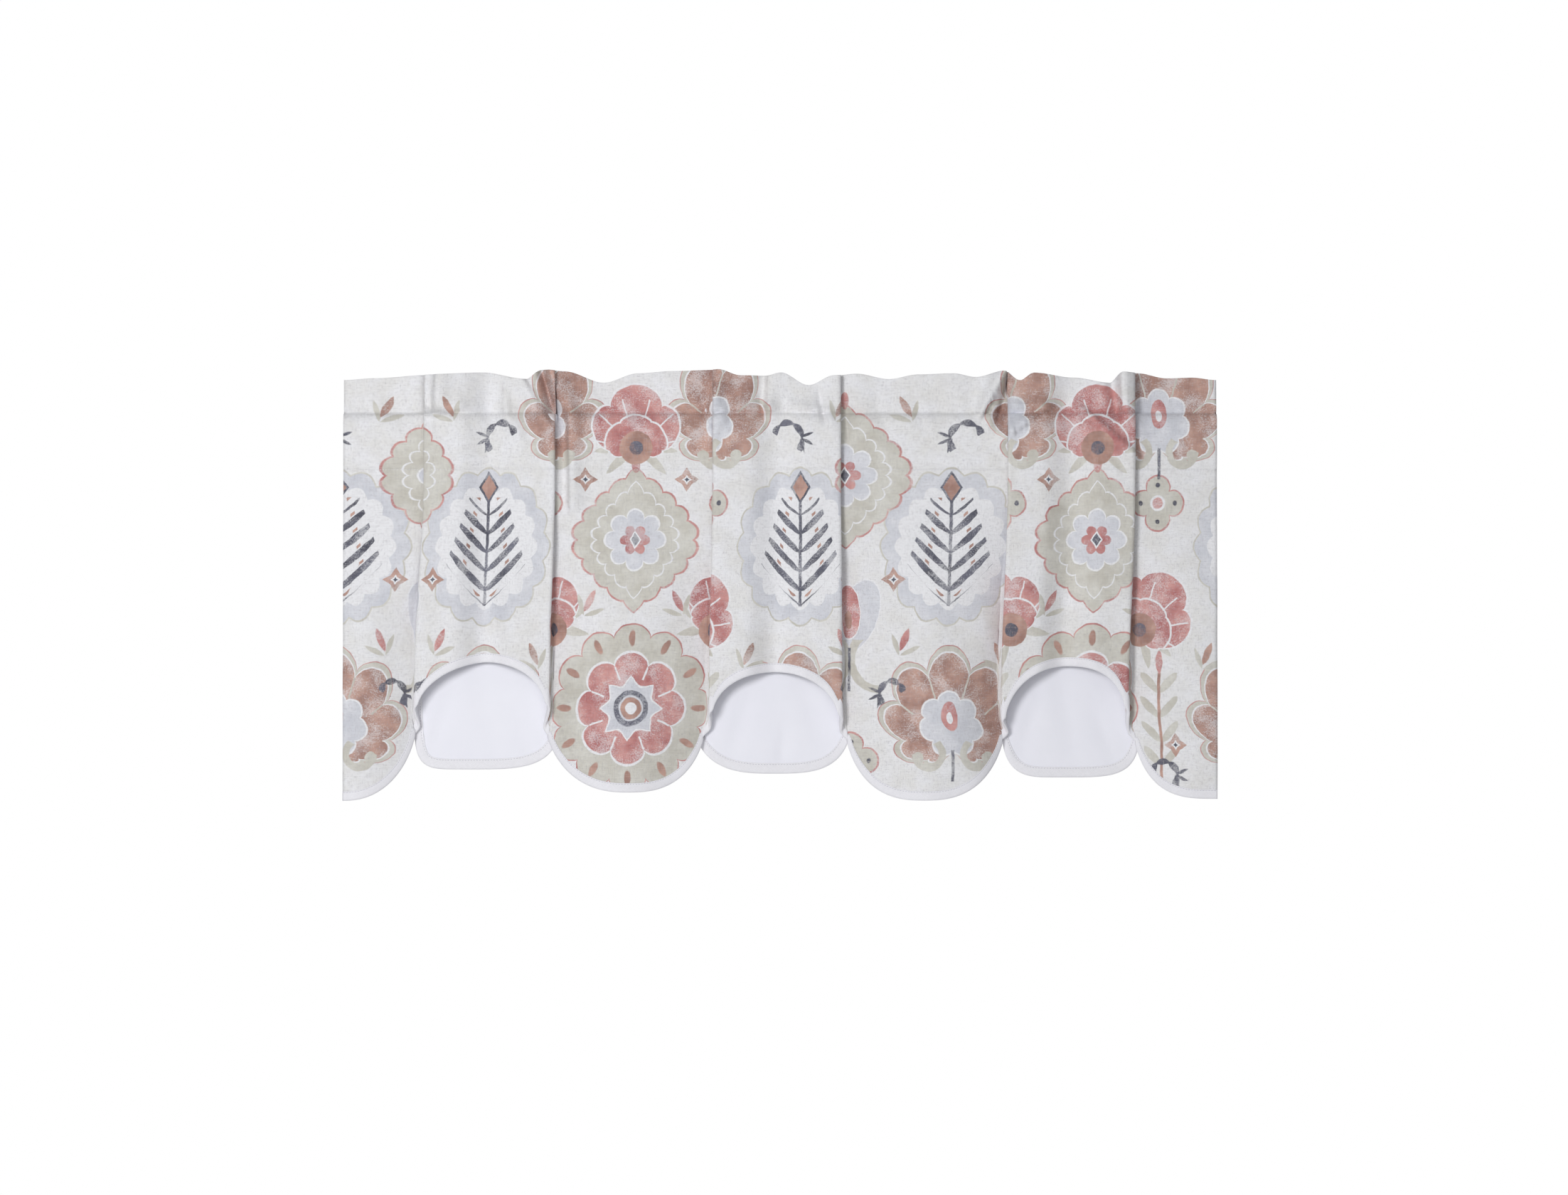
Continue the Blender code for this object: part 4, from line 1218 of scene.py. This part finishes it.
def white_satin():
    finish = Finish("white_satin", 0.55, 0.1, 0.4)
    u, v, side = finish.attribute("flat")
    clouds = finish.noise(finish.vector(u, v, side), 60.0, 2.0)
    finish.feed(finish.shader.inputs["Base Color"], finish.mix(clouds, SATIN, SATIN_SHADE))
    threads = finish.noise(finish.vector(u, v * 0.08, side), 0.7, 2.0) * 0.6
    threads = threads + finish.noise(finish.vector(u * 0.1, v, side), 0.7, 2.0) * 0.4
    finish.bump(threads, SATIN_DEPTH)
    return finish.material


def bias_binding():
    """Plain white cloth cut on the cross, so its threads run slantwise along the strip."""
    finish = Finish("bias_binding", 0.7, 0.1)
    along, above, side = finish.attribute("flat")
    one, other = along + above, along - above
    threads = finish.noise(finish.vector(one, other * 0.1, side), 0.8, 2.0) * 0.5
    threads = threads + finish.noise(finish.vector(one * 0.1, other, side), 0.8, 2.0) * 0.5
    colour = finish.mix(finish.between(threads, 0.3, 0.7), BIAS_SHADE, BIAS)
    finish.feed(finish.shader.inputs["Base Color"], colour)
    finish.bump(threads, BIAS_DEPTH)
    return finish.material


def cotton_thread(name, colour):
    finish = Finish(name, 0.6, 0.0)
    place = finish.node("ShaderNodeTexCoord").outputs["Object"]
    clouds = finish.noise(place, 0.02, 1.0)
    # Clouds of a greyer tone on the white thread; where the thread's whole colour is that grey, as on the
    # binding stitches, the grey is painted shade
    finish.feed(finish.shader.inputs["Base Color"], finish.mix(clouds, colour, THREAD_TONE_AND_PAINTED_SHADE))
    return finish.material


# --- room, light and camera --------------------------------------------------------------------------

PHOTO_SIZE = (2205, 1680)
MILLIMETRES_A_PIXEL = 0.72
PHOTO_MIDDLE = (1097.0, 530.0)  # the pixel of the object's origin
CAMERA_DISTANCE = 6.0
SENSOR = 36.0
FLOOR_HEIGHT, FLOOR_SIZE, FLOOR_GREY = -1.25, 6.0, 0.8
AMBIENT_COLOUR, AMBIENT_STRENGTH = (0.96, 0.98, 1.0, 1.0), 0.26
LAMPS = (  # name, place in metres, diameter in metres, power in watts
    ("key", (-0.95, -2.75, 0.27), 0.85, 42.5),
    ("fill", (0.3, -4.2, 0.0), 2.2, 18.0),
    ("behind", (1.2, 3.9, 0.6), 2.2, 60.0),
)
LAMP_TARGET = (0.0, 0.0, -0.22)


def add_camera():
    camera = bpy.data.objects.new("camera", bpy.data.cameras.new("camera"))
    bpy.context.scene.collection.objects.link(camera)
    x = (PHOTO_SIZE[0] / 2 - PHOTO_MIDDLE[0]) * MILLIMETRES_A_PIXEL * METRES
    z = (PHOTO_MIDDLE[1] - PHOTO_SIZE[1] / 2) * MILLIMETRES_A_PIXEL * METRES
    camera.location = (x, -CAMERA_DISTANCE, z)
    camera.rotation_euler = (math.pi / 2, 0.0, 0.0)
    wide = PHOTO_SIZE[0] * MILLIMETRES_A_PIXEL * METRES
    camera.data.sensor_width = SENSOR
    camera.data.lens = SENSOR * CAMERA_DISTANCE / wide
    bpy.context.scene.camera = camera


def add_area_light(name, place, size, power):
    lamp = bpy.data.lights.new(name, "AREA")
    lamp.shape, lamp.size, lamp.energy = "DISK", size, power
    holder = bpy.data.objects.new(name, lamp)
    bpy.context.scene.collection.objects.link(holder)
    holder.location = place
    away = np.array(place) - np.array(LAMP_TARGET)
    level = math.hypot(away[0], away[1])
    holder.rotation_euler = (math.atan2(level, away[2]), 0.0, math.atan2(away[1], away[0]) + math.pi / 2)


def add_studio():
    """White surroundings, a pale floor below the view and three soft lamps."""
    floor = bpy.data.meshes.new("floor")
    reach = FLOOR_SIZE / 2
    corners = [(-reach, -reach), (reach, -reach), (reach, reach), (-reach, reach)]
    floor.from_pydata([(x, y, FLOOR_HEIGHT) for x, y in corners], [], [(0, 1, 2, 3)])
    ground = bpy.data.objects.new("floor", floor)
    bpy.context.scene.collection.objects.link(ground)
    finish = Finish("pale_floor", 0.8, 0.0)
    finish.shader.inputs["Base Color"].default_value = (FLOOR_GREY, FLOOR_GREY, FLOOR_GREY, 1.0)
    floor.materials.append(finish.material)
    world = bpy.data.worlds.new("studio")
    bpy.context.scene.world = world
    world.use_nodes = True
    nodes, links = world.node_tree.nodes, world.node_tree.links
    ambient = nodes["Background"]
    ambient.inputs["Color"].default_value = AMBIENT_COLOUR
    ambient.inputs["Strength"].default_value = AMBIENT_STRENGTH
    seen = nodes.new("ShaderNodeBackground")
    seen.inputs["Color"].default_value = (1.0, 1.0, 1.0, 1.0)
    rays, choice = nodes.new("ShaderNodeLightPath"), nodes.new("ShaderNodeMixShader")
    links.new(rays.outputs["Is Camera Ray"], choice.inputs[0])
    links.new(ambient.outputs[0], choice.inputs[1])
    links.new(seen.outputs[0], choice.inputs[2])
    links.new(choice.outputs[0], nodes["World Output"].inputs[0])
    for lamp in LAMPS:
        add_area_light(*lamp)
    bpy.context.scene.view_settings.view_transform = "Standard"


# --- the valance -------------------------------------------------------------------------------------

def finished(piece, material, slot, *nodes):
    piece.data.materials.append(material)
    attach(piece, "root")
    if nodes:
        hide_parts(*nodes)
    return piece


def main():
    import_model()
    add_camera()
    add_studio()
    linen, satin, bias = printed_linen(), white_satin(), bias_binding()
    # The binding stitches are painted grey for shade: their thread is white
    thread, shaded_thread = cotton_thread("white_thread", THREAD), cotton_thread("thread_painted_shade", THREAD_TONE_AND_PAINTED_SHADE)
    face, face_size, face_area = panel("face_cloth", FACE)
    under, under_size, under_area = panel("under_cloth", UNDER)
    finished(face, linen, "face_panel", "face_panel")
    finished(under, satin, "under_panel", "under_panel")
    face_strip = binding("face_bias_strip", FACE, FACE_STRIP)
    under_strip = binding("under_bias_strip", UNDER, UNDER_STRIP)
    finished(face_strip, bias, "face_binding", "face_binding")
    finished(under_strip, bias, "under_binding", "under_binding")
    on_cloth = CLOTH / 2 + STITCH_OFF
    header = stitching("header_stitches", FACE, row_lines(UPPER_STITCHING, on_cloth))
    pocket = stitching("pocket_stitches", FACE, row_lines(LOWER_STITCHING, on_cloth))
    on_strip = CLOTH / 2 + STRIP_OFF + STITCH_OUT * BINDING_CLOTH
    face_row = stitching("face_strip_stitches", FACE, binding_line(FACE, FACE_STRIP, on_strip))
    under_row = stitching("under_strip_stitches", UNDER, binding_line(UNDER, UNDER_STRIP, on_strip))
    for row in (header, pocket):
        finished(row, thread, "face_binding")
    # Painted shade: the binding stitches are grey, the header stitches white
    finished(face_row, shaded_thread, "face_binding")
    finished(under_row, shaded_thread, "under_binding")


main()
